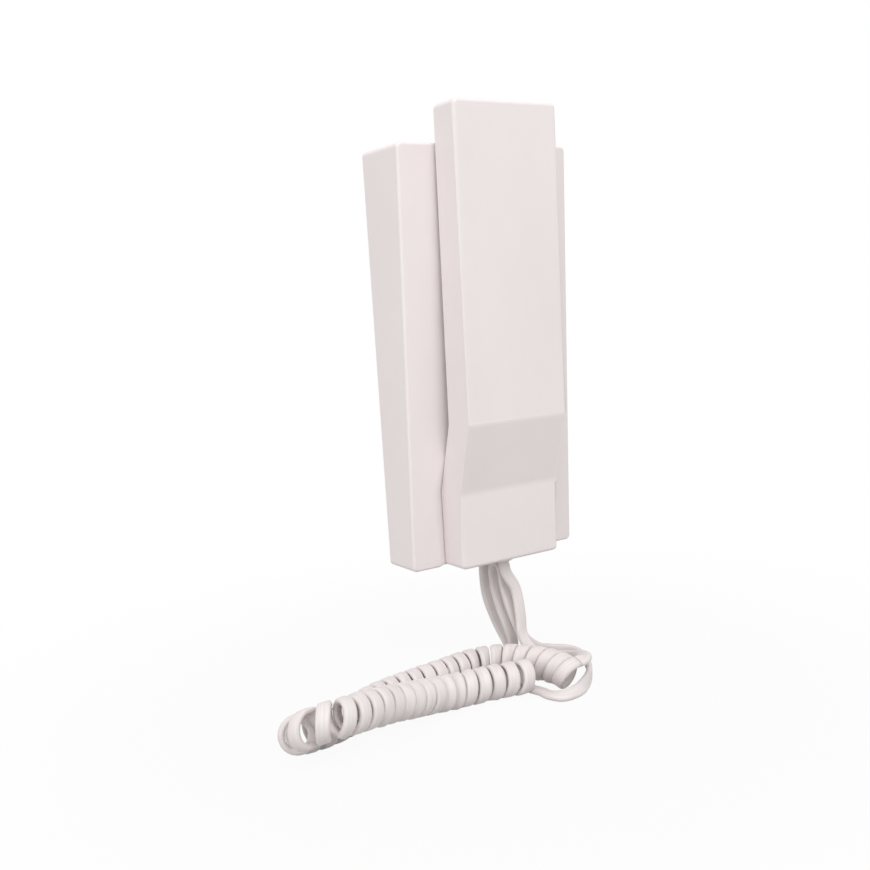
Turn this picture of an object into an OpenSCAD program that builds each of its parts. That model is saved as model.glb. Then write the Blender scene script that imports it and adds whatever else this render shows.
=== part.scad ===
// Audio intercom: a wall unit, the handset that hangs on it, and the flat curly cord between them.
// Millimetres, +Z up, front towards -Y. The origin is on the wall's face, midway between the wall screws.

/* [Wall unit] */
// Width of the wall unit
base_w = 87; // [84:1:100]
// Height of the wall unit
base_h = 180; // [178:1:200]
// Depth of the wall unit at its top edge
base_top_d = 29; // [28:0.5:33]
// Depth of the wall unit at its bottom edge
base_bottom_d = 20; // [19.5:0.5:22]
// Wall thickness of the housing
base_wall = 2.2; // [1.8:0.1:2.6]
// Radius of the housing's outline corners
base_corner_r = 2.2; // [2:0.2:6]
// Thickness of the wall plate
plate_t = 2.5; // [2:0.1:3]

/* [Mounting] */
// Distance between the two wall screws
screw_spacing = 120; // [100:1:140]
// Diameter of the wall screw holes
screw_hole_d = 4.5; // [3.5:0.1:6]
// Width of the cable window in the wall plate
entry_w = 26; // [16:1:34]
// Height of the cable window in the wall plate
entry_h = 20; // [12:1:22]

/* [Handset] */
// Width of the handset
handset_w = 52; // [50:0.5:58]
// How far the handset stands above the wall unit
handset_rise = 15; // [6:1:24]
// Thickness of the handset along its upper part
handset_t = 15; // [14.5:0.1:17]
// Thickness of the handset at its lower end
handset_end_t = 14; // [13.5:0.1:16]
// Wall thickness of the handset
handset_wall = 2; // [1.6:0.1:2.2]
// Radius of the handset's outline corners
handset_corner_r = 2.2; // [1.2:0.1:4]
// Height of the lower bend above the handset's lower end
lower_bend_h = 33; // [31:0.5:36]
// Height of the upper bend above the handset's lower end
upper_bend_h = 63; // [58:0.5:66]
// Gap behind the handset at its top
top_gap = 1.4; // [1:0.1:2.4]
// Gap behind the handset at its upper bend
middle_gap = 4.3; // [3.8:0.1:5]
// How deep the lower end sits in the cradle
cradle_depth = 3.4; // [2.4:0.1:4]

/* [Hanging and hook switch] */
// Angle at which the handset lifts away
lift_angle = 25; // [20:1:30]
// Width of each hanger nose
nose_w = 9; // [6:0.5:10]
// Thickness of each hanger nose
nose_t = 3.2; // [2.4:0.1:3.6]
// Distance between the hanger noses
nose_spacing = 35; // [32:1:36]
// Height of the hanger noses
nose_z = 40; // [40:0.5:43]
// Swing of the hook lever
hook_swing = 8; // [5:0.5:9]
// Width of the hook lever
lever_w = 6; // [4:0.5:6.5]
// Radius of the lever's pin
lever_pin_r = 1.2; // [1:0.1:1.5]

/* [Controls] */
// Diameter of the release button
button_d = 13; // [10:0.5:15]
// Travel of the release button
button_travel = 1.5; // [1:0.1:1.6]
// How far the release button stands proud
button_proud = 2; // [1.6:0.1:2.4]
// Travel of the volume slider
volume_travel = 8; // [4:0.5:10]

/* [Electronics] */
// Width of the circuit board
board_w = 70; // [68:0.5:72]
// Height of the circuit board
board_h = 72; // [70:0.5:74]
// Thickness of the circuit board
board_t = 1.6; // [1.2:0.1:1.8]
// Depth of the terminal block
terminal_d = 8; // [7.5:0.1:8.4]
// Number of terminals
terminal_count = 5; // [4:1:6]
// Diameter of the call sounder
sounder_d = 30; // [26:0.5:32]
// Diameter of the receiver capsule
receiver_d = 38; // [34:0.5:40]
// Thickness of the receiver capsule
receiver_t = 7.5; // [6:0.1:8]
// Diameter of the microphone capsule
microphone_d = 9.7; // [6:0.1:10]

/* [Cord] */
// Width of the flat cord
cord_w = 5.4; // [5:0.1:5.6]
// Thickness of the flat cord
cord_t = 2.4; // [2.2:0.1:2.5]
// Outer diameter of the curls
curl_od = 14.2; // [13.4:0.1:14.4]
// Gap left between neighbouring curls
curl_gap = 0.65; // [0.55:0.05:0.9]

/* [Clearances] */
// Gap between pieces that fit into each other
fit_gap = 0.2; // [0.1:0.05:0.3]
// Gap between pieces that move past each other
run_gap = 0.4; // [0.3:0.05:0.5]
// Radial gap round the lever's pin
pin_gap = 0.05; // [0.02:0.01:0.09]

/* [Hidden] */
$fn = 48;
// A little extra depth for cuts
over = 1;
white = "#ece6e4";
grey = "#8d8f92";
steel = "silver";

// Side outline of the wall unit
top_z = base_h / 2;
low_z = -base_h / 2;
function front_y(z) = -(base_bottom_d + (base_top_d - base_bottom_d) * (z - low_z) / base_h);
function inner_y(z) = front_y(z) + base_wall;

// Side outline of the handset: top, upper bend, lower bend, lower end
handset_top = top_z + handset_rise;
upper_z = low_z + upper_bend_h;
lower_z = low_z + lower_bend_h;
back_top = front_y(top_z) - top_gap;
back_upper = front_y(upper_z) - middle_gap;
back_lower = front_y(lower_z) + cradle_depth;
face_top = back_top - handset_t;
face_upper = back_upper - handset_t;
face_lower = back_lower - handset_t;
face_end = back_lower - handset_end_t;
lean = atan((back_upper - back_top) / (handset_top - upper_z));
face_lean = atan((face_upper - face_top) / (handset_top - upper_z));
function back_y(z) = back_upper + (back_top - back_upper) * (z - upper_z) / (handset_top - upper_z);
function face_y(z) = face_upper + (face_top - face_upper) * (z - upper_z) / (handset_top - upper_z);

// Cradle
cradle_w = handset_w + 2 * run_gap;
cradle_y = back_lower + run_gap;
// The cradle's sides flare out towards the front: how wide, and at which angles
flare_w = 5.6;
flare_angle = atan((cradle_depth + run_gap) / flare_w);
ramp_rate = (back_lower - back_upper) / (upper_z - lower_z);
ramp_tilt = atan(ramp_rate * cos(flare_angle));

// Board, behind everything on the housing's front
board_back = -(plate_t + terminal_d + 1.5);
board_front = board_back - board_t;
board_hole_x = board_w / 2 - 4;
board_hole_z = board_h / 2 - 4;
board_screw_r = 1.05;
board_boss_r = 3;
board_screw_long = 5;

// Hook lever
pivot_z = 34;
pivot_y = inner_y(pivot_z) + 5;
tip_z = 14;
tip_r = 2.5;
tip_y = back_y(tip_z) + run_gap;
// How far the tip rises as the lever swings out
tip_lift = (pivot_y - tip_y) * sin(hook_swing) + (pivot_z - tip_z) * (1 - cos(hook_swing));
hub_r = 3;
arm_front = pivot_y - 1.2;
arm_back = pivot_y + 1.2;
cheek_x = lever_w / 2 + 3.6;
cheek_t = 2;
spring_wire_r = 0.35;
spring_r = lever_pin_r + spring_wire_r + 0.6;

// Release button
button_z = -14;
button_face = front_y(button_z) - button_proud;
flange_t = 1.5;
flange_front = inner_y(button_z - button_d / 2 - 2) + 0.3;
key_h = 2;
key_top = board_front - key_h - 0.5;
stem_tip = key_top - button_travel - 0.3;

// Volume slider
volume_z = -8;
volume_y = board_front - 2.4;
knob_h = 4;
slot_h = volume_travel + knob_h + 2 * run_gap;
slider_t = 1.6;
side_inner = base_w / 2 - base_wall;

// Sounder
sounder_z = 62;
sounder_t = 6;
sounder_seat = inner_y(sounder_z - sounder_d / 2) + 1;

// Receiver, microphone and weight in the handset
receiver_z = handset_top - 29;
gasket_t = 1;
microphone_z = low_z + 19;
microphone_t = 6;
boot_wall = 1.6;
boot_t = microphone_t + boot_wall;
weight_w = 26;
weight_h = 46;
weight_t = 4;
weight_z = 4;
cover_screw_z = [receiver_z - 24.5, lower_z - 3.8];
cover_screw_r = 1.3;
cover_boss_r = 3.2;
cover_screw_long = 6;
gasket_rim = 5;
lead_x = 17;
lead_r = 0.6;

// Grommets
grommet_w = 8;
grommet_t = 5;
grommet_drop = 1.5;
grommet_collar = 0.8;
base_grommet_y = -base_bottom_d / 2 - 0.5;
handset_grommet_y = back_lower - handset_end_t / 2;

// Cord, lying on a floor below the unit
floor_z = low_z - 48;
cord_r = curl_od / 2 - cord_t / 2;
axis_z = floor_z + curl_od / 2 + 0.1;
curl_pitch = cord_w + curl_gap;
curl_rings = 8;
// Spacing of the strands at the inside of the fold, where they stand on edge
fold_pitch = cord_t + curl_gap + 0.35;
// The fold: its middle, its radius and how far its plane tips up
fold_mid = [-111, -64.5, axis_z + 5.5];
fold_r = 11;
fold_tip = 30;
far_run = [
    [-3, -72.5, axis_z], [-2.2, -67, axis_z], [-2.2, -61, axis_z], [-3.6, -54, axis_z], [-7.4, -46.5, axis_z],
    [-13, -40.7, axis_z], [-20.5, -37, axis_z], [-28.5, -36, axis_z], [-37, -36.9, axis_z],
    [-50, -38.8, axis_z], [-66, -40.8, axis_z], [-78, -43.5, axis_z], [-90, -48.5, axis_z],
    [-102, -53.5, axis_z]
];
near_run = [
    [-103, -72.5, axis_z + 10], [-92, -68.5, axis_z + 8.5], [-80, -64, axis_z + 6], [-67, -60, axis_z + 3],
    [-54, -56.5, axis_z + 0.8], [-43, -57, axis_z], [-30, -58.5, axis_z], [-22, -60.8, axis_z],
    [-15.5, -63.4, axis_z]
];
// How far the curls lean over and turn aside at the two ends, and the length over which they do
far_lean = 25;
far_turn = 25;
near_turn = 28;
slant_run = 26;
// Straight length of each end of the curls
curl_lead = 2;
// The straight ends: place, then the direction of the cord's width. On the floor the cord stands on edge
tail_top = low_z - grommet_drop;
edge_z = floor_z + cord_w / 2 + 0.2;
handset_tail_route = [
    [0, handset_grommet_y, tail_top, 1, 0, 0], [1, handset_grommet_y, tail_top - 5, 1, 0, 0],
    [5.2, -26, low_z - 15, 1, 0, 0], [5.5, -28.5, low_z - 27, 1, 0, 0.1],
    [4.5, -31, low_z - 36, 0.8, 0.2, 0.5], [6, -35.5, floor_z + 6, 0.4, 0.2, 0.9],
    [10.5, -41, edge_z + 1, 0, 0, 1], [13, -48, edge_z + 1.8, 0.1, -0.1, 0.95],
    [13, -56, edge_z + 3.8, 0.25, -0.1, 0.92], [10.2, -64.5, edge_z + 7, 0.5, -0.4, 0.7],
    [7.8, -69.6, edge_z + 8.6, 0.55, -0.65, 0.4], [5, -73, edge_z + 9.4, 0.4, -0.85, 0]
];
// The slack of the wall unit's end is gathered under it in one fold
base_tail_route = [
    [0, base_grommet_y, tail_top, 1, 0, 0], [-0.5, base_grommet_y, tail_top - 8, 1, 0, 0],
    [0.3, base_grommet_y, low_z - 20, 1, 0, 0], [3, -11, low_z - 29.5, 1, 0, 0],
    [5.6, -12.9, low_z - 38, 1, 0, 0], [6.7, -15.2, low_z - 42.6, 1, 0, 0],
    [7.05, -16, low_z - 44.3, 1, 0, 0], [7.2, -17.7, low_z - 45, 1, 0, 0],
    [7, -19.4, low_z - 44.3, 1, 0, 0], [6.6, -20.2, low_z - 42.6, 1, 0, 0],
    [4.8, -19.9, low_z - 35, 1, 0, 0], [2.7, -17.4, low_z - 25, 1, 0, 0], [1.3, -15.6, low_z - 14, 1, 0, 0],
    [1.6, -15.4, low_z - 6.6, 1, 0, 0], [1.75, -16.1, low_z - 4.9, 1, 0, 0], [2, -17.8, low_z - 4.2, 1, 0, 0],
    [2.3, -19.5, low_z - 4.9, 1, 0, 0], [2.6, -20.2, low_z - 6.6, 1, 0, 0], [3.2, -20.6, low_z - 14, 1, 0, 0],
    [4.5, -22.4, low_z - 24, 1, 0, 0], [6.5, -25, low_z - 33, 0.9, 0.1, 0.3],
    [9.5, -27, low_z - 40.5, 0.6, 0.2, 0.8], [13.5, -29.5, edge_z + 1, 0.1, 0, 1],
    [18.5, -33.5, edge_z, 0, 0, 1], [22.6, -38.5, edge_z, 0, 0, 1], [24, -44, edge_z, 0, 0, 1],
    [22.8, -50, edge_z, 0, 0, 1], [19, -57.5, edge_z, 0, 0, 1], [12, -67, edge_z, 0, 0, 1],
    [3, -74.8, edge_z - 0.2, -0.2, 0.3, 0.9], [-5, -78.8, edge_z - 0.5, -0.2, 0.7, 0.7],
    [-11.8, -78.2, edge_z - 1, 0.3, 0.8, 0.45], [-14.6, -73.2, edge_z - 1.4, 0.9, 0.35, 0.1]
];

// Plain shapes

// A prism along X from a side outline of [y, z] points
module side_prism(points, w) {
    rotate([90, 0, 90]) linear_extrude(height = w, center = true) polygon(points);
}

// A box between two corners
module span(a, b) {
    translate(a) cube(b - a);
}

// A round bar along Y from back to front
module y_bar(x, z, r, back, front) {
    translate([x, back, z]) rotate([90, 0, 0]) cylinder(r = r, h = back - front);
}

// A round bar along X
module x_bar(y, z, r, from, to) {
    translate([from, y, z]) rotate([0, 90, 0]) cylinder(r = r, h = to - from);
}

// A block along Y with a rounded outline, between two heights
module y_block(w, bottom, top, r, back, front) {
    span([-w / 2 + r, front, bottom], [w / 2 - r, back, top]);
    span([-w / 2, front, bottom + r], [w / 2, back, top - r]);
    for (x = [-w / 2 + r, w / 2 - r], z = [bottom + r, top - r]) y_bar(x, z, r, back, front);
}

// A flat-sided oval bar along Z
module oval_bar(y, w, t, from, to) {
    span([-w / 2 + t / 2, y - t / 2, from], [w / 2 - t / 2, y + t / 2, to]);
    for (x = [-w / 2 + t / 2, w / 2 - t / 2]) translate([x, y, from]) cylinder(d = t, h = to - from);
}

// Rings of round holes along Y, with one in the middle
module hole_rings(z, r, step, rings, per_ring, back, front) {
    y_bar(0, z, r, back, front);
    for (ring = [1 : rings], k = [0 : ring * per_ring - 1]) {
        a = 360 * k / (ring * per_ring);
        y_bar(ring * step * cos(a), z + ring * step * sin(a), r, back, front);
    }
}

// Moves a child from the origin's XZ plane to the handset's leaning back or face
module on_lean(y, z, angle) {
    translate([0, y, z]) rotate([angle, 0, 0]) children();
}

// Wall unit

module base_solid() {
    intersection() {
        side_prism([[0, low_z], [-base_bottom_d, low_z], [-base_top_d, top_z], [0, top_z]], base_w);
        y_block(base_w, low_z, top_z, base_corner_r, over, -base_top_d - over);
    }
}

module base_cavity() {
    bottom = low_z + base_wall;
    top = top_z - base_wall;
    intersection() {
        side_prism([[over, bottom], [inner_y(bottom), bottom], [inner_y(top), top], [over, top]], base_w);
        y_block(base_w - 2 * base_wall, bottom, top, base_corner_r - base_wall + 0.4, over, -base_top_d);
    }
}

// The space that the handset's lower end sits in, and with a shift the block that its wall fills
module cradle_space(w, shift) {
    deep = -base_top_d - handset_t;
    side_prism([
        [deep, low_z - over], [cradle_y + shift, low_z - over], [cradle_y + shift, lower_z],
        [back_upper + run_gap + shift, upper_z], [deep, upper_z]
    ], w);
}

// One flared side of the cradle: what lies in front of its two planes, below and above the lower bend
module cradle_flare(side) {
    wide = 2 * flare_w;
    tall = 2 * (upper_z - low_z);
    deep = 2 * handset_t;
    intersection_for (tilt = [0, ramp_tilt])
        translate([side * cradle_w / 2, cradle_y, lower_z])
            rotate([0, 0, -side * flare_angle]) rotate([tilt, 0, 0])
                span([-wide, -deep, -tall], [wide, 0, tall]);
}

// A nose slopes up and out, the way the handset lifts away
module hanger_nose(x, grow) {
    root = [front_y(nose_z) + base_wall / 2, nose_z];
    out = [-cos(lift_angle), sin(lift_angle)];
    down = [-sin(lift_angle), -cos(lift_angle)];
    long = (root[0] - back_y(nose_z) + 5) / cos(lift_angle);
    a = root - down * grow;
    b = root + down * (nose_t + grow);
    translate([x, 0, 0]) side_prism([a, a + out * long, b + out * long, b], nose_w + 2 * grow);
}

module plate_ledge() {
    bottom = low_z + base_wall;
    top = top_z - base_wall;
    w = base_w - 2 * base_wall;
    r = base_corner_r - base_wall + 0.4;
    ledge = 1.6;
    difference() {
        y_block(w + 0.4, bottom - 0.2, top + 0.2, r, -plate_t, -plate_t - 1.8);
        span([-w / 2 + ledge, -plate_t - 2, bottom + ledge], [w / 2 - ledge, 0, top - ledge]);
    }
}

module base_housing() {
    color(white) difference() {
        union() {
            difference() {
                base_solid();
                base_cavity();
            }
            intersection() {
                base_solid();
                cradle_space(cradle_w + 2 * (flare_w + base_wall), base_wall);
            }
            plate_ledge();
            for (x = [-1, 1]) hanger_nose(x * nose_spacing / 2, 0);
            // Bosses that carry the board
            for (x = [-1, 1], z = [-1, 1])
                y_bar(x * board_hole_x, z * board_hole_z, board_boss_r, board_front,
                    inner_y(z * board_hole_z) - base_wall / 2);
            // Seat of the sounder
            difference() {
                y_bar(0, sounder_z, sounder_d / 2 + 2, sounder_seat + sounder_t - 1,
                    inner_y(sounder_z) - base_wall / 2);
                y_bar(0, sounder_z, sounder_d / 2 - 2, 0, -base_top_d);
                y_bar(0, sounder_z, sounder_d / 2 + fit_gap, 0, sounder_seat);
            }
            // Cheeks that hold the lever's pin
            for (x = [-1, 1])
                translate([x * (cheek_x + cheek_t / 2), 0, 0])
                    span([-cheek_t / 2, inner_y(pivot_z) - base_wall / 2, pivot_z - 4],
                        [cheek_t / 2, pivot_y + 3, pivot_z + 4]);
        }
        cradle_space(cradle_w, 0);
        for (side = [-1, 1]) intersection() {
            cradle_flare(side);
            translate([side * (cradle_w / 2 + flare_w), 0, 0]) cradle_space(2 * flare_w, 0);
        }
        // Pilot holes of the board screws
        for (x = [-1, 1], z = [-1, 1])
            y_bar(x * board_hole_x, z * board_hole_z, board_screw_r + pin_gap, board_front + over,
                board_front - board_screw_long - 0.5);
        hole_rings(sounder_z, 1, 4, 2, 6, 0, -base_top_d - over);
        x_bar(pivot_y, pivot_z, lever_pin_r + pin_gap, -cheek_x - cheek_t - over, cheek_x + cheek_t + over);
        // Slot of the lever's nose
        span([-lever_w / 2 - run_gap, -base_top_d - over, tip_z - tip_r - 2 * run_gap],
            [lever_w / 2 + run_gap, pivot_y - hub_r, tip_z + tip_r + tip_lift + run_gap]);
        y_bar(0, button_z, button_d / 2 + run_gap, 0, -base_top_d - over);
        // Slot of the volume slider
        span([side_inner - over, volume_y - knob_h / 2 - run_gap, volume_z - slot_h / 2],
            [base_w / 2 + over, volume_y + knob_h / 2 + run_gap, volume_z + slot_h / 2]);
        oval_bar(base_grommet_y, grommet_w + 2 * fit_gap, grommet_t + 2 * fit_gap,
            low_z - over, low_z + base_wall + over);
        // Pockets for the wall plate's tabs
        for (x = [-1, 1]) translate([x * tab_x, 0, 0])
            span([-tab_w / 2 - fit_gap, -plate_t - fit_gap, top_z - base_wall - over],
                [tab_w / 2 + fit_gap, -plate_t + tab_t + fit_gap, top_z - base_wall + tab_h + fit_gap]);
        translate([lug_x, lug_y, low_z - over]) cylinder(r = lock_r + fit_gap, h = base_wall + 2 * over);
    }
}

// Tabs at the top of the wall plate, and the lug and screw that lock its bottom
tab_x = base_w / 2 - 21.5;
tab_w = 10;
tab_t = 1.4;
tab_h = 1.2;
lug_x = -base_w / 2 + 16.5;
lug_w = 10;
lug_d = 7;
lug_h = 3;
lug_y = -plate_t - lug_d / 2 - 0.4;
lock_r = 1.5;
ledge_clear = 2;

module wall_plate() {
    w = base_w - 2 * base_wall - 2 * fit_gap;
    bottom = low_z + base_wall + fit_gap;
    top = top_z - base_wall - fit_gap;
    color(white) difference() {
        union() {
            y_block(w, bottom, top, base_corner_r - base_wall + 0.4, 0, -plate_t);
            for (x = [-1, 1]) translate([x * tab_x, 0, 0])
                span([-tab_w / 2, -plate_t, top - over],
                    [tab_w / 2, -plate_t + tab_t, top_z - base_wall + tab_h]);
            translate([lug_x, 0, 0])
                span([-lug_w / 2, -plate_t - lug_d, bottom + ledge_clear],
                    [lug_w / 2, -plate_t, bottom + ledge_clear + lug_h]);
        }
        for (z = [-1, 1]) y_bar(0, z * screw_spacing / 2, screw_hole_d / 2, over, -plate_t - over);
        span([-entry_w / 2, -plate_t - over, entry_z - entry_h / 2],
            [entry_w / 2, over, entry_z + entry_h / 2]);
        translate([lug_x, lug_y, low_z]) cylinder(r = lock_r + pin_gap, h = 12);
    }
}
entry_z = -6;

module locking_screw() {
    color(steel) translate([lug_x, lug_y, low_z]) {
        cylinder(r = lock_r, h = base_wall + fit_gap + ledge_clear + lug_h + 0.5);
        difference() {
            translate([0, 0, -1.4]) cylinder(r = 2.7, h = 1.4);
            span([-2, -0.35, -1.4 - over], [2, 0.35, -0.7]);
            span([-0.35, -2, -1.4 - over], [0.35, 2, -0.7]);
        }
    }
}

module circuit_board() {
    color("#2f6b3c") difference() {
        y_block(board_w, -board_h / 2, board_h / 2, 1.5, board_back, board_front);
        for (x = [-1, 1], z = [-1, 1])
            y_bar(x * board_hole_x, z * board_hole_z, board_screw_r + fit_gap, board_back + over,
                board_front - over);
    }
}

module board_screws() {
    color(steel) for (x = [-1, 1], z = [-1, 1]) {
        y_bar(x * board_hole_x, z * board_hole_z, board_screw_r, board_back, board_front - board_screw_long);
        difference() {
            y_bar(x * board_hole_x, z * board_hole_z, 2.2, board_back + 1.6, board_back);
            translate([x * board_hole_x, board_back + 1.2, z * board_hole_z]) {
                span([-1.6, -0.3, -0.3], [1.6, 1, 0.3]);
                span([-0.3, -0.3, -1.6], [0.3, 1, 1.6]);
            }
        }
    }
}

// Terminal block on the board's back, its wire holes facing down
terminal_step = 5;
terminal_z = 14;
terminal_h = 10;
terminal_top = board_back + terminal_d;
terminal_screw_z = terminal_z + 6.5;
function terminal_x(k) = (k - (terminal_count - 1) / 2) * terminal_step;

module terminal_block() {
    w = terminal_count * terminal_step;
    color("#3f7f55") difference() {
        span([-w / 2, board_back, terminal_z], [w / 2, board_back + terminal_d, terminal_z + terminal_h]);
        for (k = [0 : terminal_count - 1]) {
            translate([terminal_x(k), board_back + 2.6, terminal_z - over]) cylinder(r = 1.4, h = 6);
            y_bar(terminal_x(k), terminal_screw_z, 1.8, terminal_top + over, terminal_top - 3.2);
        }
    }
}

module terminal_screws() {
    color(steel) for (k = [0 : terminal_count - 1]) difference() {
        y_bar(terminal_x(k), terminal_screw_z, 1.7, terminal_top - 0.8, terminal_top - 3.2);
        translate([terminal_x(k), terminal_top - 1.4, terminal_screw_z]) span([-2, 0, -0.3], [2, 2, 0.3]);
    }
}

module call_sounder() {
    color("#3b3d40") {
        y_bar(0, sounder_z, sounder_d / 2, sounder_seat + sounder_t / 2, sounder_seat);
        y_bar(0, sounder_z, sounder_d / 2 - 5, sounder_seat + sounder_t, sounder_seat + sounder_t / 2);
        y_bar(0, sounder_z, sounder_d / 2 - 8, sounder_seat + sounder_t + 1, sounder_seat + sounder_t);
    }
}

// Hook switch, lever, pin and spring
switch_z = 20;

module hook_switch() {
    plunger_t = 0.6;
    color("#26282a") {
        span([-6.4, arm_back + run_gap + plunger_t, switch_z - 3.2], [6.4, board_front, switch_z + 3.2]);
        span([-1.5, arm_back + run_gap, switch_z - 0.8],
            [1.5, arm_back + run_gap + plunger_t, switch_z + 0.8]);
    }
}

module hook_lever() {
    color(white) difference() {
        union() {
            x_bar(pivot_y, pivot_z, hub_r, -lever_w / 2, lever_w / 2);
            span([-lever_w / 2, arm_front, tip_z - tip_r], [lever_w / 2, arm_back, pivot_z]);
            span([-lever_w / 2, tip_y + tip_r, tip_z - tip_r], [lever_w / 2, arm_back, tip_z + tip_r]);
            x_bar(tip_y + tip_r, tip_z, tip_r, -lever_w / 2, lever_w / 2);
        }
        x_bar(pivot_y, pivot_z, lever_pin_r + pin_gap, -lever_w, lever_w);
    }
}

module lever_pin() {
    color(steel) x_bar(pivot_y, pivot_z, lever_pin_r, -cheek_x - cheek_t, cheek_x + cheek_t);
}

module lever_spring() {
    turns = 2;
    start_x = lever_w / 2 + 0.8;
    pitch = (cheek_x - 0.5 - start_x) / turns;
    steps = turns * curl_rings;
    leg = 5;
    wound = [for (k = [0 : steps])
        let (a = 360 * k / curl_rings)
        [start_x + pitch * k / curl_rings, pivot_y - spring_r * cos(a), pivot_z + spring_r * sin(a)]];
    wire = concat([wound[0] - [0, 0, leg]], wound, [wound[steps] + [0, 0, leg * 0.4]]);
    color(steel) round_tube(wire, spring_wire_r);
}

module release_button() {
    color("#d9d4d2") {
        y_bar(0, button_z, button_d / 2, flange_front + 0.2, button_face);
        y_bar(0, button_z, button_d / 2 + 1.6, flange_front + flange_t, flange_front);
        y_bar(0, button_z, 2.2, stem_tip, flange_front);
    }
}

module release_switch() {
    color("#26282a") {
        span([-3, board_front - key_h, button_z - 3], [3, board_front, button_z + 3]);
        y_bar(0, button_z, 1.7, board_front - key_h + 0.2, key_top);
    }
}

module volume_slider() {
    color(white) {
        span([side_inner - fit_gap - slider_t, volume_y - knob_h / 2, volume_z - knob_h / 2],
            [base_w / 2 + 1.2, volume_y + knob_h / 2, volume_z + knob_h / 2]);
        span([side_inner - fit_gap - slider_t, volume_y - knob_h / 2 - 0.2, volume_z - knob_h],
            [side_inner - fit_gap, volume_y + knob_h / 2, volume_z + knob_h]);
    }
}

module volume_switch() {
    contact_l = 3.1;
    reach = side_inner - fit_gap - slider_t - run_gap - contact_l;
    color("#26282a") {
        span([reach - 9, board_front - 4.2, volume_z - volume_travel / 2 - 5],
            [reach, board_front, volume_z + volume_travel / 2 + 5]);
        span([reach, volume_y - 0.6, volume_z - volume_travel / 2 - 4],
            [side_inner - fit_gap - slider_t - run_gap, volume_y + 0.6, volume_z - volume_travel / 2 - 2.8]);
    }
}

// Small parts along the board's lower edge
part_z = -board_h / 2 + 10;

module capacitors() {
    first_x = -board_w / 2 + 13;
    color("#2c3a66") for (k = [0, 1]) y_bar(first_x + 9 * k, part_z, 3.1, board_front, board_front - 5.2);
}

module control_chip() {
    chip = [10, 2.4, 7];
    color("#26282a") translate([board_w / 2 - 18, board_back, part_z - chip[2] / 2]) cube(chip);
}

// Grommets

// A flanged bush through a wall that faces down
module flat_grommet(y, wall) {
    color(white) {
        oval_bar(y, grommet_w, grommet_t, low_z - grommet_drop, low_z + wall);
        oval_bar(y, grommet_w + 2, grommet_t + 2, low_z - grommet_collar, low_z);
        oval_bar(y, grommet_w + 2.4, grommet_t + 2, low_z + wall, low_z + wall + 1.4);
    }
}

module base_grommet() {
    flat_grommet(base_grommet_y, base_wall);
}

module handset_grommet() {
    flat_grommet(handset_grommet_y, handset_wall);
}

// Handset

// Side outline between two distances from the back surface, and how far its ends draw in
function back_band(from, to, ends) = [
    [back_lower - from, low_z + ends], [back_lower - from, lower_z], [back_upper - from, upper_z],
    [back_top - from, handset_top - ends], [back_top - to, handset_top - ends], [back_upper - to, upper_z],
    [back_lower - to, lower_z], [back_lower - to, low_z + ends]
];

module handset_solid() {
    round_r = 2.4;
    top_back = [for (a = [0 : 15 : 90])
        [back_top - round_r + round_r * cos(a), handset_top - round_r + round_r * sin(a)]];
    intersection() {
        side_prism(concat([
            [face_end, low_z], [back_lower, low_z], [back_lower, lower_z], [back_upper, upper_z]
        ], top_back, [[face_top, handset_top], [face_upper, upper_z], [face_lower, lower_z]]), handset_w);
        y_block(handset_w, low_z, handset_top, handset_corner_r, 0, face_top - over);
    }
}

module handset_cavity() {
    bottom = low_z + handset_wall;
    top = handset_top - handset_wall;
    side_prism([
        [face_end + handset_wall, bottom], [over, bottom], [over, top], [face_top + handset_wall, top],
        [face_upper + handset_wall, upper_z], [face_lower + handset_wall, lower_z]
    ], handset_w - 2 * handset_wall);
}

rim_w = handset_w - 2 * handset_wall;
cover_t = 2;

module handset_front_shell() {
    ledge = 1.2;
    color(white) difference() {
        union() {
            difference() {
                handset_solid();
                handset_cavity();
            }
            // Ledge that the rear cover sits on
            for (x = [-1, 1]) translate([x * (rim_w / 2 - ledge / 2 + 0.1), 0, 0])
                side_prism(back_band(cover_t, cover_t + 1.5, handset_wall + 0.2), ledge + 0.2);
            for (z = cover_screw_z) y_bar(0, z, cover_boss_r, cover_seat(z), face_at(z) + handset_wall / 2);
        }
        for (z = cover_screw_z)
            y_bar(0, z, cover_screw_r + pin_gap, cover_seat(z) + over,
                cover_seat(z) - cover_screw_long - 0.5);
        oval_bar(handset_grommet_y, grommet_w + 2 * fit_gap, grommet_t + 2 * fit_gap,
            low_z - over, low_z + handset_wall + over);
    }
}
// Where a boss meets the inside of the rear cover, and the inside of the face behind it
function cover_seat(z) = back_at(z + cover_boss_r) - cover_t - 0.1;
function back_at(z) = z > upper_z ? back_y(z) : z > lower_z ? ramp_y(z) : back_lower;
function ramp_y(z) = back_lower + (back_upper - back_lower) * (z - lower_z) / (upper_z - lower_z);
function face_at(z) = z > upper_z ? face_y(z)
    : z > lower_z ? face_lower + (face_upper - face_lower) * (z - lower_z) / (upper_z - lower_z)
    : face_end + (face_lower - face_end) * (z - low_z) / (lower_z - low_z);

module handset_rear_cover() {
    color(white) difference() {
        intersection() {
            side_prism(back_band(0, cover_t, handset_wall + fit_gap), rim_w - 2 * fit_gap);
            handset_solid();
        }
        for (x = [-1, 1]) hanger_nose(x * nose_spacing / 2, run_gap);
        hole_rings(receiver_z, 1.1, 4.2, 2, 6, 0, face_top);
        for (x = [-3, 0, 3]) y_bar(x, microphone_z, 0.8, 0, face_top);
        for (z = cover_screw_z) {
            y_bar(0, z, cover_screw_r + fit_gap, 0, face_top);
            y_bar(0, z, 2.6 + fit_gap, 0, screw_head_y(z));
        }
    }
}
function screw_head_y(z) = back_at(z + cover_boss_r) - 1.1;

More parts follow.
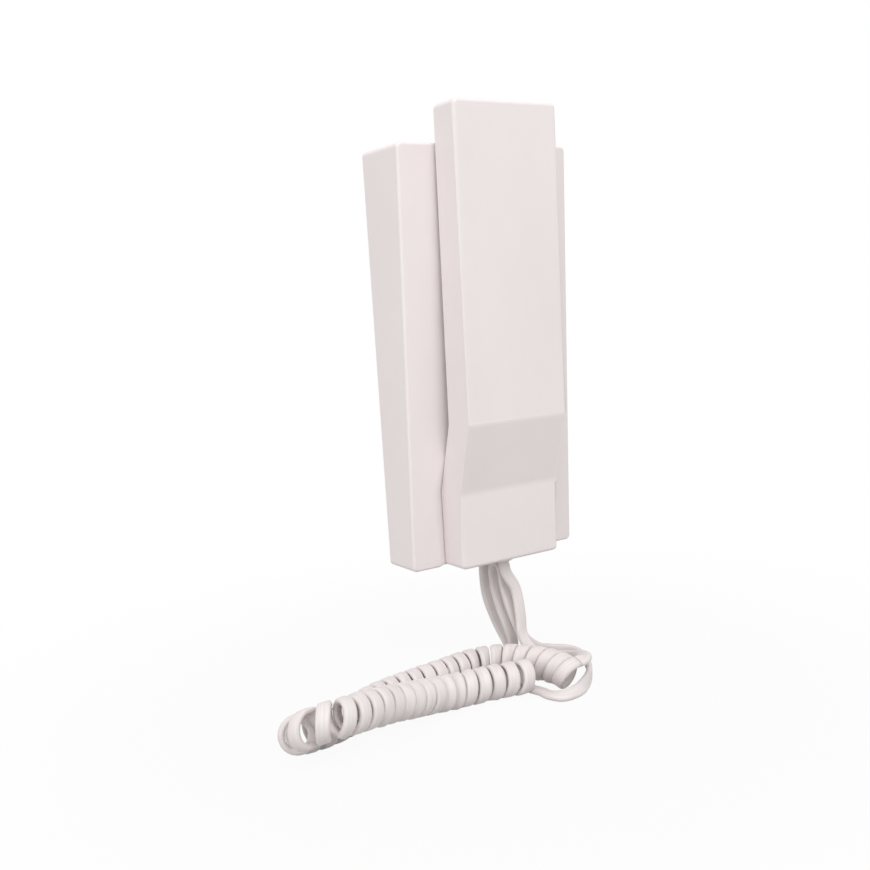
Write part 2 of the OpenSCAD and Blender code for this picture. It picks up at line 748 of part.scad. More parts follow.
module cover_screws() {
    color(steel) for (z = cover_screw_z) {
        y_bar(0, z, cover_screw_r, screw_head_y(z), cover_seat(z) - cover_screw_long);
        difference() {
            y_bar(0, z, 2.6, screw_head_y(z) + 0.9, screw_head_y(z));
            translate([0, screw_head_y(z) + 0.4, z]) {
                span([-1.7, 0, -0.3], [1.7, 1, 0.3]);
                span([-0.3, 0, -1.7], [0.3, 1, 1.7]);
            }
        }
    }
}

module receiver_gasket() {
    color("#333333") on_lean(back_y(receiver_z) - cover_t - 0.1, receiver_z, lean) difference() {
        y_bar(0, 0, receiver_d / 2, 0, -gasket_t);
        y_bar(0, 0, receiver_d / 2 - gasket_rim, over, -gasket_t - over);
    }
}

module receiver_capsule() {
    color(grey) on_lean(back_y(receiver_z) - cover_t - 0.1, receiver_z, lean) {
        y_bar(0, 0, receiver_d / 2, -gasket_t, -gasket_t - receiver_t / 2);
        y_bar(0, 0, receiver_d / 2 - 7, -gasket_t - receiver_t / 2, -gasket_t - receiver_t);
    }
}

module microphone_boot() {
    seat = back_lower - cover_t;
    color("#333333") difference() {
        y_bar(0, microphone_z, microphone_d / 2 + boot_wall, seat, seat - boot_t);
        y_bar(0, microphone_z, microphone_d / 2 + pin_gap, seat + over, seat - microphone_t);
        y_bar(0, microphone_z, 2, seat, seat - boot_t - over);
    }
}

module microphone_capsule() {
    seat = back_lower - cover_t;
    color(steel) y_bar(0, microphone_z, microphone_d / 2, seat - 0.3, seat - microphone_t);
}

module ballast_weight() {
    color("#6f7275") on_lean(face_y(weight_z) + handset_wall, weight_z, face_lean) difference() {
        span([-weight_w / 2, 0, -weight_h / 2], [weight_w / 2, weight_t, weight_h / 2]);
        for (z = [-1, 1]) y_bar(0, z * weight_h / 3, 2, weight_t + over, -over);
    }
}

// Two thin wires from the cord's end to the receiver, beside the weight and clear of the capsule's rim
module handset_leads() {
    function mid_y(z) = (ramp_y(z) + face_at(z)) / 2;
    function rim_y(z) = back_y(z) - cover_t - gasket_t - receiver_t / 2 - 2;
    color("#a33b32") for (x = [-1, 1]) {
        wire = [
            [x * 3, handset_grommet_y, low_z + handset_wall + 1.4], [x * 3, handset_grommet_y, low_z + 7],
            [x * 10, handset_grommet_y, low_z + 14], [x * (lead_x - 1), handset_grommet_y - 1, lower_z - 7],
            [x * lead_x, mid_y(lower_z + 7), lower_z + 7], [x * lead_x, mid_y(upper_z - 3), upper_z - 3],
            [x * lead_x, rim_y(upper_z + 13), upper_z + 13],
            [x * lead_x, rim_y(receiver_z - 56), receiver_z - 56],
            [x * (lead_x - 1), rim_y(receiver_z - 34), receiver_z - 34],
            [x * (lead_x - 6), rim_y(receiver_z - 20), receiver_z - 20],
            [x * (lead_x - 9), rim_y(receiver_z - 10), receiver_z - 10]
        ];
        round_tube(wire, lead_r);
    }
}

// Cord

function unit(v) = v / norm(v);
function xyz(p) = [p[0], p[1], p[2]];

// Slopes of a smooth curve through points that aren't evenly spaced
function slopes(p) = let (n = len(p) - 1, d = [for (i = [0 : n - 1]) norm(xyz(p[i + 1]) - xyz(p[i]))])
    [for (i = [0 : n])
        i == 0 ? (p[1] - p[0]) / d[0]
        : i == n ? (p[n] - p[n - 1]) / d[n - 1]
        : ((p[i + 1] - p[i]) * d[i - 1] / d[i] + (p[i] - p[i - 1]) * d[i] / d[i - 1]) / (d[i] + d[i - 1])];

// The curve itself, with about one point every step
function smooth(p, step) = let (m = slopes(p), n = len(p) - 1)
    concat([p[0]], [for (i = [0 : n - 1])
        let (h = norm(xyz(p[i + 1]) - xyz(p[i])), k = max(1, round(h / step)))
        for (j = [1 : k])
            let (t = j / k, u = 1 - t)
            p[i] * (1 + 2 * t) * u * u + m[i] * h * t * u * u
                + p[i + 1] * (3 - 2 * t) * t * t - m[i + 1] * h * t * t * u]);

function tangents(p) = let (n = len(p) - 1)
    [for (i = [0 : n]) unit(p[min(i + 1, n)] - p[max(i - 1, 0)])];

// A closed tube through rings of points, all with the same number of sides
module skin(rings) {
    n = len(rings);
    k = len(rings[0]);
    side = [for (i = [0 : n - 2], j = [0 : k - 1]) let (a = i * k + j, b = i * k + (j + 1) % k)
        each [[a, b + k, b], [a, a + k, b + k]]];
    first = [for (j = [1 : k - 2]) [0, j, j + 1]];
    last = [for (j = [1 : k - 2]) [(n - 1) * k, (n - 1) * k + j + 1, (n - 1) * k + j]];
    polyhedron([for (r = rings) each r], concat(side, first, last));
}

// A round wire along points, its sides kept from twisting by one fixed direction
module round_tube(points, r, sides = 6) {
    t = tangents(points);
    skin([for (i = [0 : len(points) - 1])
        let (a = unit(cross(t[i], [0.31, 0.87, 0.38])), b = cross(t[i], a))
        [for (k = [0 : sides - 1]) points[i] + r * (cos(360 * k / sides) * a + sin(360 * k / sides) * b)]]);
}

// The flat cord's section at a point: t along it, w along its width
function cord_ring(p, t, w, sides) =
    let (a = unit(w - t * (w * t)), b = cross(t, a), flat = (cord_w - cord_t) / 2,
        phase = sides == 8 ? 0.5 : 0)
    [for (k = [0 : sides - 1])
        let (q = 360 * (k + phase) / sides, rim = sides == 6 && abs(sin(q)) > 0.5 ? sign(sin(q)) : sin(q))
        p + a * (sign(cos(q)) * flat + cord_t / 2 * cos(q)) + b * cord_t / 2 * rim];

// The curls' axis: the far run, the fold and the near run
axis_points = concat(far_run,
    [for (a = [0 : 15 : 180])
        fold_mid + fold_r * [-sin(a), cos(a) * cos(fold_tip), -cos(a) * sin(fold_tip)]],
    near_run);
axis_line = smooth(axis_points, 1.6);
axis_t = tangents(axis_line);
axis_n = len(axis_line) - 1;
axis_s = [for (i = 0, s = 0; i <= axis_n; i = i + 1,
    s = i <= axis_n ? s + norm(axis_line[i] - axis_line[i - 1]) : s) s];
axis_bend = [for (i = [0 : axis_n])
    (axis_t[min(i + 1, axis_n)] - axis_t[max(i - 1, 0)])
        / (axis_s[min(i + 1, axis_n)] - axis_s[max(i - 1, 0)])];
// How far the curls lean over and turn aside along the axis
far_share = [for (s = axis_s) max(0, 1 - s / slant_run)];
near_share = [for (s = axis_s) max(0, 1 - (axis_s[axis_n] - s) / slant_run)];
axis_lean = far_share * far_lean;
axis_swing = far_share * far_turn + near_share * near_turn;
axis_pitch = [for (i = [0 : axis_n]) max(curl_pitch / cos(axis_lean[i]) / cos(axis_swing[i]),
    fold_pitch / (1 - norm(axis_bend[i]) * cord_r))];
raw_turn = [for (i = 0, a = 0; i <= axis_n; i = i + 1,
    a = i <= axis_n ? a + 2 * (axis_s[i] - axis_s[i - 1]) / (axis_pitch[i] + axis_pitch[i - 1]) : a) a];
// The cord comes in over the top and leaves under the bottom
curls = floor(raw_turn[axis_n]) - 0.5;
axis_turn = raw_turn * curls / raw_turn[axis_n];

function at_turn(values, turn) = lookup(turn, [for (i = [0 : axis_n]) [axis_turn[i], values[i]]]);
function on_axis(values, turn) = [for (k = [0 : 2]) at_turn([for (v = values) v[k]], turn)];

// A curl's own directions at a turn: up, to the side and across the curl
function curl_frame(turn) = let (t = unit(on_axis(axis_t, turn)), lean = at_turn(axis_lean, turn),
        swing = at_turn(axis_swing, turn), level = unit([0, 0, 1] - t * t[2]), right = cross(t, level),
        facing = t * cos(swing) - right * sin(swing))
    [level * cos(lean) - facing * sin(lean), right * cos(swing) + t * sin(swing),
        facing * cos(lean) + level * sin(lean)];

// How far a strand tips on edge, so that it clears the next one at this spacing
function tip_angle(spacing) = let (flat = cord_w - cord_t, clear = cord_t + curl_gap,
        c = (spacing * spacing + flat * flat - clear * clear) / (2 * spacing * flat))
    spacing >= flat + clear ? 0
    : spacing * c >= flat ? acos(min(1, c)) : asin(min(1, clear / spacing));

strand = [for (j = [0 : curls * curl_rings])
    let (turn = j / curl_rings, a = on_axis(axis_line, turn), bend = on_axis(axis_bend, turn),
        frame = curl_frame(turn), out = cos(360 * turn) * frame[0] - sin(360 * turn) * frame[1],
        tip = tip_angle(at_turn(axis_pitch, turn) * (1 - cord_r * (out * bend))))
    [a + cord_r * out, cos(tip) * frame[2] + sin(tip) * out]];
strand_n = len(strand) - 1;
strand_p = [for (q = strand) q[0]];
// Both ends run level and straight before they meet the tails
function level_t(turn, way) =
    unit(unit(on_axis(axis_t, turn)) * curl_pitch / (2 * PI * cord_r) + way * curl_frame(turn)[1]);
strand_t = [for (i = [0 : strand_n])
    i == 0 ? level_t(0, -1) : i == strand_n ? level_t(curls, 1) : unit(strand_p[i + 1] - strand_p[i - 1])];
curl_start = strand_p[0] - strand_t[0] * curl_lead;
curl_end = strand_p[strand_n] + strand_t[strand_n] * curl_lead;
coil_rings = concat(
    [cord_ring(curl_start, strand_t[0], strand[0][1], 6)],
    [for (i = [0 : strand_n]) cord_ring(strand_p[i], strand_t[i], strand[i][1], 6)],
    [cord_ring(curl_end, strand_t[strand_n], strand[strand_n][1], 6)]);

// Least gap of the curls to themselves, on the rings' points
function ring_gap(a, b) = min([for (p = a, q = b) norm(p - q)]);
coil_self_gap = min([for (i = [0 : strand_n - 6], j = [i + 5 : strand_n])
    if (norm(strand_p[i] - strand_p[j]) < cord_w + 2) ring_gap(coil_rings[i + 1], coil_rings[j + 1])]);

module cord_coil() {
    echo(curls = curls, coil_self_gap = coil_self_gap);
    color(white) skin(coil_rings);
}

// A tail from its grommet to the end of the curls
module cord_tail(route, end, end_t, end_w) {
    near_end = end - end_t * curl_lead;
    points = smooth(concat(route, [concat(near_end, end_w), concat(end, end_w)]), 7);
    place = [for (p = points) xyz(p)];
    t = tangents(place);
    n = len(points) - 1;
    color(white) skin([for (i = [0 : n])
        cord_ring(place[i], i == 0 ? [0, 0, -1] : i == n ? end_t : t[i],
            [points[i][3], points[i][4], points[i][5]], 8)]);
}

module cord_handset_tail() {
    cord_tail(handset_tail_route, curl_start, strand_t[0], -strand[0][1]);
}

module cord_base_tail() {
    cord_tail(base_tail_route, curl_end, -strand_t[strand_n], strand[strand_n][1]);
}

base_housing();
wall_plate();
locking_screw();
circuit_board();
board_screws();
terminal_block();
terminal_screws();
call_sounder();
hook_switch();
hook_lever();
lever_pin();
lever_spring();
release_button();
release_switch();
volume_slider();
volume_switch();
capacitors();
control_chip();
base_grommet();
handset_front_shell();
handset_rear_cover();
receiver_capsule();
receiver_gasket();
microphone_capsule();
microphone_boot();
ballast_weight();
cover_screws();
handset_grommet();
handset_leads();
cord_base_tail();
cord_coil();
cord_handset_tail();
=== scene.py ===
"""Looks of the wall intercom: its finishes, softened mouldings, flat curly cord, camera and studio."""
import logging
import math
from dataclasses import dataclass, field
from enum import Enum
from typing import Callable, Iterator, Optional, Sequence, Union

import bpy
from mathutils import Matrix, Vector


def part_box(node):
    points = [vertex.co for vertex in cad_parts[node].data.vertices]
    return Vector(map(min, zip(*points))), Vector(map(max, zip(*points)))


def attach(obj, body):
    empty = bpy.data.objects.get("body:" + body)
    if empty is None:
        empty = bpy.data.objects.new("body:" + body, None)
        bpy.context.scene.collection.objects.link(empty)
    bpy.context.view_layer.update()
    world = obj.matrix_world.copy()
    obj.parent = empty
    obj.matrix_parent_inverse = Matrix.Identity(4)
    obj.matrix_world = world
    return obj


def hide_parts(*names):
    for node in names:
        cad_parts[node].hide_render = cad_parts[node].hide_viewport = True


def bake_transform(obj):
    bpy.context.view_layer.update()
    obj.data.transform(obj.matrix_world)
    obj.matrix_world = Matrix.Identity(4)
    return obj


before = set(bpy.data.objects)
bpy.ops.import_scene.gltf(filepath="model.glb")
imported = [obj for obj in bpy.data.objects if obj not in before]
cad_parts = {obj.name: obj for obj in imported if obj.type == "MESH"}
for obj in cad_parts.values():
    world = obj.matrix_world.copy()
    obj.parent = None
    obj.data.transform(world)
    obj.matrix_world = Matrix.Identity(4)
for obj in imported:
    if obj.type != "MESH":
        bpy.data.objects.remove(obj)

LOG = logging.getLogger("intercom")
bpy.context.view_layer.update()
MM = 0.001

Colour = tuple[float, float, float]
Place = tuple[float, float, float]
Value = Union[float, Colour, "Wire"]


class Body(Enum):
    """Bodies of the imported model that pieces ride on."""

    BASE = "base"
    HANDSET = "handset"
    LEVER = "hook_lever"
    BUTTON = "release_button"
    SLIDER = "volume_slider"


class Slot(Enum):
    """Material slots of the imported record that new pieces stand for."""

    WHITE_PLASTIC = "white_plastic"
    BUTTON_PLASTIC = "button_plastic"
    WHITE_CORD = "white_cord"
    STEEL = "steel"
    WIRE = "wire"


# Shader maths

class Wire:
    """An output socket whose arithmetic adds Math nodes to its tree."""

    def __init__(self, tree: "Tree", socket: bpy.types.NodeSocket) -> None:
        """Keep the socket and the tree that it belongs to."""
        self.tree = tree
        self.socket = socket

    def beside(self, out: str) -> "Wire":
        """Another output of the same node."""
        return Wire(self.tree, self.socket.node.outputs[out])

    def _math(self, operation: str, first: Value, second: Value) -> "Wire":
        """The result of one Math node on two numbers or wires."""
        return self.tree.node("ShaderNodeMath", {"operation": operation}, {0: first, 1: second})

    def __add__(self, other: Value) -> "Wire":
        """This wire plus a number or wire."""
        return self._math("ADD", self, other)

    def __radd__(self, other: Value) -> "Wire":
        """A number plus this wire."""
        return self._math("ADD", other, self)

    def __sub__(self, other: Value) -> "Wire":
        """This wire less a number or wire."""
        return self._math("SUBTRACT", self, other)

    def __rsub__(self, other: Value) -> "Wire":
        """A number less this wire."""
        return self._math("SUBTRACT", other, self)

    def __mul__(self, other: Value) -> "Wire":
        """This wire times a number or wire."""
        return self._math("MULTIPLY", self, other)

    def __rmul__(self, other: Value) -> "Wire":
        """A number times this wire."""
        return self._math("MULTIPLY", other, self)

    def __gt__(self, other: Value) -> "Wire":
        """One where this wire is the greater, and else zero."""
        return self._math("GREATER_THAN", self, other)

    def __or__(self, other: Value) -> "Wire":
        """The greater of this wire and another."""
        return self._math("MAXIMUM", self, other)


class Tree:
    """A node tree that nodes are added to by type, settings and socket values."""

    def __init__(self, tree: bpy.types.NodeTree) -> None:
        """Keep the node tree."""
        self.tree = tree

    def node(self, kind: str, settings: Optional[dict] = None, values: Optional[dict] = None,
             out: Union[int, str] = 0) -> Wire:
        """Add one node.

        Args:
            kind: The node's type.
            settings: Its own properties, set first; stops are a ramp's places and colours.
            values: Numbers, colours or wires of its input sockets, by name or place.
            out: The output socket that is wanted.

        Returns:
            The wire of that output.
        """
        made = self.tree.nodes.new(kind)
        for key, setting in (settings or {}).items():
            if key == "stops":
                for element, (place, colour) in zip(made.color_ramp.elements, setting):
                    element.position = place
                    element.color = (*colour, 1.0)
            else:
                setattr(made, key, setting)
        self.join(made, values or {})
        return Wire(self, made.outputs[out])

    def join(self, made: bpy.types.Node, values: dict) -> None:
        """Set or link input sockets of a node.

        Args:
            made: The node.
            values: Numbers, colours or wires, by the socket's name or place.
        """
        for key, value in values.items():
            socket = made.inputs[key]
            if isinstance(value, Wire):
                self.tree.links.new(value.socket, socket)
            elif isinstance(value, tuple) and len(value) == 3 and socket.type == "RGBA":
                socket.default_value = (*value, 1.0)
            else:
                socket.default_value = value

    def noise(self, place: Wire, scale: float, detail: float = 2.0, rough: float = 0.5) -> Wire:
        """The value of a noise texture, with its scale in cells to the metre."""
        values = {"Vector": place, "Scale": scale, "Detail": detail, "Roughness": rough}
        return self.node("ShaderNodeTexNoise", None, values)

    def mix(self, share: Value, first: Value, second: Value) -> Wire:
        """Two colours mixed, with a share from 0 to 1 of the second."""
        return self.node("ShaderNodeMix", {"data_type": "RGBA"}, {0: share, 6: first, 7: second}, 2)

    def ramp(self, share: Wire, *stops: tuple[float, Colour]) -> Wire:
        """Colour a share from 0 to 1 by a ramp's places and colours."""
        return self.node("ShaderNodeValToRGB", {"stops": stops}, {"Fac": share})

    def stretched(self, place: Wire, scale: Place) -> Wire:
        """Coordinates scaled along each axis."""
        return self.node("ShaderNodeVectorMath", {"operation": "MULTIPLY"}, {0: place, 1: scale})


class Surface(Tree):
    """A material with one Principled surface."""

    def __init__(self, name: str) -> None:
        """Make the material.

        Args:
            name: The material's name.
        """
        self.material = bpy.data.materials.new(name)
        self.material.use_nodes = True
        super().__init__(self.material.node_tree)
        self.shader = self.tree.nodes["Principled BSDF"]

    def set(self, values: dict) -> None:
        """Set or link the Principled shader's sockets."""
        self.join(self.shader, values)

    def bump(self, height: Wire, depth: float) -> None:
        """Raise the surface by a height from 0 to 1, where 1 is the depth in metres."""
        values = {"Strength": 1.0, "Distance": depth, "Height": height}
        self.set({"Normal": self.node("ShaderNodeBump", None, values)})

    def place(self) -> Wire:
        """The piece's own coordinates."""
        return self.node("ShaderNodeTexCoord", None, None, "Object")

    def along(self) -> Wire:
        """The piece's UV map."""
        return self.node("ShaderNodeTexCoord", None, None, "UV")


# Finishes

@dataclass(frozen=True)
class Moulding:
    """Moulded plastic or rubber: spark-eroded grain, faint clouding and an uneven sheen.

    Here and in the other finishes a scale is in cells to the metre, and other sizes are in metres.
    """

    name: str
    colour: Colour
    shade: Colour
    roughness: float
    spread: float = 0.08
    grain: float = 0.0004
    depth: float = 0.000012
    cloud_scale: float = 22.0
    speck_scale: float = 900.0
    flow_scale: float = 60.0
    flow_stretch: Place = (1.0, 1.0, 0.22)
    ripple_scale: float = 160.0

    def material(self) -> bpy.types.Material:
        """Make the finish.

        Returns:
            The material.
        """
        surface = Surface(self.name)
        place = surface.place()
        cloud = surface.noise(place, self.cloud_scale, 3.0, 0.55)
        speck = surface.noise(place, self.speck_scale)
        flow = surface.noise(surface.stretched(place, self.flow_stretch), self.flow_scale)
        tint = cloud * 0.55 + flow * 0.3 + speck * 0.15
        surface.set({"Base Color": surface.ramp(tint, (0.34, self.colour), (0.72, self.shade))})
        surface.set({"Roughness": self.roughness + (speck + cloud - 1.0) * self.spread})
        grain = surface.noise(place, 1.0 / self.grain, 3.0, 0.6)
        ripple = surface.noise(place, self.ripple_scale, 1.0)
        surface.bump(grain * 0.75 + ripple * 0.6, self.depth)
        return surface.material


@dataclass(frozen=True)
class Jacket:
    """An extruded cord or wire jacket: streaks along it and a fine matt grain."""

    name: str
    colour: Colour
    shade: Colour
    roughness: float
    depth: float = 0.00002
    streak_scale: float = 1400.0
    streak_stretch: Place = (0.06, 1.0, 1.0)
    patch_scale: float = 26.0
    patch_stretch: Place = (1.0, 0.3, 1.0)
    grain_scale: float = 2600.0

    def material(self) -> bpy.types.Material:
        """Make the finish.

        Returns:
            The material.
        """
        surface = Surface(self.name)
        along = surface.along()
        streak = surface.noise(surface.stretched(along, self.streak_stretch), self.streak_scale)
        patch = surface.noise(surface.stretched(along, self.patch_stretch), self.patch_scale)
        tint = streak * 0.6 + patch * 0.4
        surface.set({"Base Color": surface.ramp(tint, (0.36, self.colour), (0.7, self.shade))})
        surface.set({"Roughness": self.roughness + (streak - 0.5) * 0.12})
        grain = surface.noise(along, self.grain_scale)
        surface.bump(streak * 0.7 + grain * 0.4, self.depth)
        return surface.material


@dataclass(frozen=True)
class PlatedSteel:
    """Plated or cast metal: drawn streaks, dull patches and a fine tooth."""

    name: str
    colour: Colour
    shade: Colour
    roughness: float
    metallic: float = 1.0
    depth: float = 0.000008
    tooth_scale: float = 1500.0
    drawn_scale: float = 2400.0
    drawn_stretch: Place = (1.0, 0.08, 1.0)
    dull_scale: float = 160.0

    def material(self) -> bpy.types.Material:
        """Make the finish.

        Returns:
            The material.
        """
        surface = Surface(self.name)
        place = surface.place()
        drawn = surface.noise(surface.stretched(place, self.drawn_stretch), self.drawn_scale)
        dull = surface.noise(place, self.dull_scale, 4.0, 0.6)
        surface.set({"Base Color": surface.mix(dull, self.colour, self.shade)})
        surface.set({"Roughness": self.roughness + (dull - 0.5) * 0.2 + (drawn - 0.5) * 0.12})
        surface.set({"Metallic": self.metallic})
        tooth = surface.noise(place, self.tooth_scale, 4.0, 0.6)
        surface.bump(tooth * 0.6 + drawn * 0.4, self.depth)
        return surface.material


@dataclass(frozen=True)
class SolderMask:
    """A circuit board's green mask over copper tracks, with tinned pads; reaches are shares of the pitch."""

    name: str
    mask: Colour
    track: Colour
    pad: Colour
    pitch: float = 0.0045
    unevenness: float = 0.55
    track_reach: float = 0.09
    pad_reach: float = 0.16
    mottle_scale: float = 300.0
    depth: float = 0.00003

    def material(self) -> bpy.types.Material:
        """Make the finish.

        Returns:
            The material.
        """
        surface = Surface(self.name)
        place = surface.place()
        flat = surface.stretched(place, (1.0, 0.0, 1.0))
        cells = {"Vector": flat, "Scale": 1.0 / self.pitch, "Randomness": self.unevenness}
        edge, near = (surface.node("ShaderNodeTexVoronoi", {"feature": feature}, cells, "Distance")
                      for feature in ("DISTANCE_TO_EDGE", "F1"))
        line = 1.0 - (edge > self.track_reach)
        pad = 1.0 - (near > self.pad_reach)
        mottle = surface.noise(place, self.mottle_scale, 3.0)
        green = surface.mix(mottle * 0.3, self.mask, self.track)
        printed = surface.mix(line, green, self.track)
        surface.set({"Base Color": surface.mix(pad, printed, self.pad)})
        surface.set({"Metallic": pad * 0.9, "Roughness": 0.42 + mottle * 0.1 - pad * 0.12})
        surface.bump(line * 0.5 + pad * 0.5 + mottle * 0.1, self.depth)
        return surface.material


@dataclass(frozen=True)
class CapacitorSleeve:
    """A capacitor's printed sleeve with a pale stripe and a bare metal top."""

    name: str
    sleeve: Colour
    fade: Colour
    stripe: Colour
    metal: Colour
    top_facing: float = 0.8
    stripe_facing: float = 0.82
    mottle_scale: float = 500.0
    depth: float = 0.00001

    def material(self) -> bpy.types.Material:
        """Make the finish.

        Returns:
            The material.
        """
        surface = Surface(self.name)
        place = surface.place()
        normal = surface.node("ShaderNodeTexCoord", None, None, "Normal")
        across = surface.node("ShaderNodeSeparateXYZ", None, {0: normal}, "X")
        front = 1.0 - (across.beside("Y") > -self.top_facing)
        right = across > self.stripe_facing
        mottle = surface.noise(place, self.mottle_scale, 3.0)
        sleeve = surface.mix(mottle * 0.4, self.sleeve, self.fade)
        striped = surface.mix(right, sleeve, self.stripe)
        surface.set({"Base Color": surface.mix(front, striped, self.metal)})
        surface.set({"Metallic": front * 0.95, "Roughness": 0.38 + mottle * 0.1 - front * 0.08})
        surface.bump(mottle, self.depth)
        return surface.material


Finish = Union[Moulding, Jacket, PlatedSteel, SolderMask, CapacitorSleeve]

WHITE = Moulding("white_moulding", (0.845, 0.785, 0.776), (0.815, 0.75, 0.742), 0.46)
BUTTON = Moulding("button_moulding", (0.72, 0.7, 0.69), (0.67, 0.65, 0.64), 0.5, grain=0.0003)
TERMINAL = Moulding("terminal_moulding", (0.1, 0.34, 0.18), (0.07, 0.26, 0.13), 0.5)
BLACK = Moulding("black_moulding", (0.028, 0.028, 0.032), (0.045, 0.045, 0.048), 0.48)
RUBBER = Moulding("black_rubber", (0.03, 0.03, 0.03), (0.05, 0.05, 0.048), 0.75, grain=0.0006)
GROMMET = Moulding("grommet_moulding", (0.83, 0.78, 0.77), (0.79, 0.735, 0.725), 0.55, grain=0.0003)
CORD = Jacket("cord_jacket", (0.79, 0.735, 0.722), (0.67, 0.612, 0.6), 0.5)
LEAD = Moulding("lead_jacket", (0.42, 0.06, 0.05), (0.34, 0.04, 0.035), 0.4, grain=0.0003)
STEEL = PlatedSteel("plated_steel", (0.6, 0.6, 0.61), (0.5, 0.5, 0.52), 0.34)
CAPSULE = PlatedSteel("capsule_paint", (0.3, 0.31, 0.32), (0.24, 0.25, 0.26), 0.5, 0.5,
                      tooth_scale=900.0)
CAST = PlatedSteel("cast_weight", (0.24, 0.25, 0.26), (0.15, 0.155, 0.16), 0.66, 0.8,
                   depth=0.00006, tooth_scale=420.0)
MASK = SolderMask("solder_mask", (0.035, 0.2, 0.075), (0.06, 0.29, 0.11), (0.7, 0.7, 0.68))
SLEEVE = CapacitorSleeve("capacitor_sleeve", (0.03, 0.04, 0.12), (0.06, 0.08, 0.2), (0.62, 0.63, 0.66),
                         (0.7, 0.7, 0.7))


# Modelling by hand

@dataclass(frozen=True)
class EdgeView:
    """What an edge looks like: its middle and length, the normals of its two faces, how far it stands
    out between them, and the area of the face that faces the front more."""

    index: int
    middle: Vector
    length: float
    first: Vector
    second: Vector
    bulge: float
    front_area: float


@dataclass(frozen=True)
class Rounding:
    """One rounding of a piece: its width in metres, which edges it takes and its facets."""

    width: float
    wanted: Callable[[EdgeView], bool]
    segments: int = 3


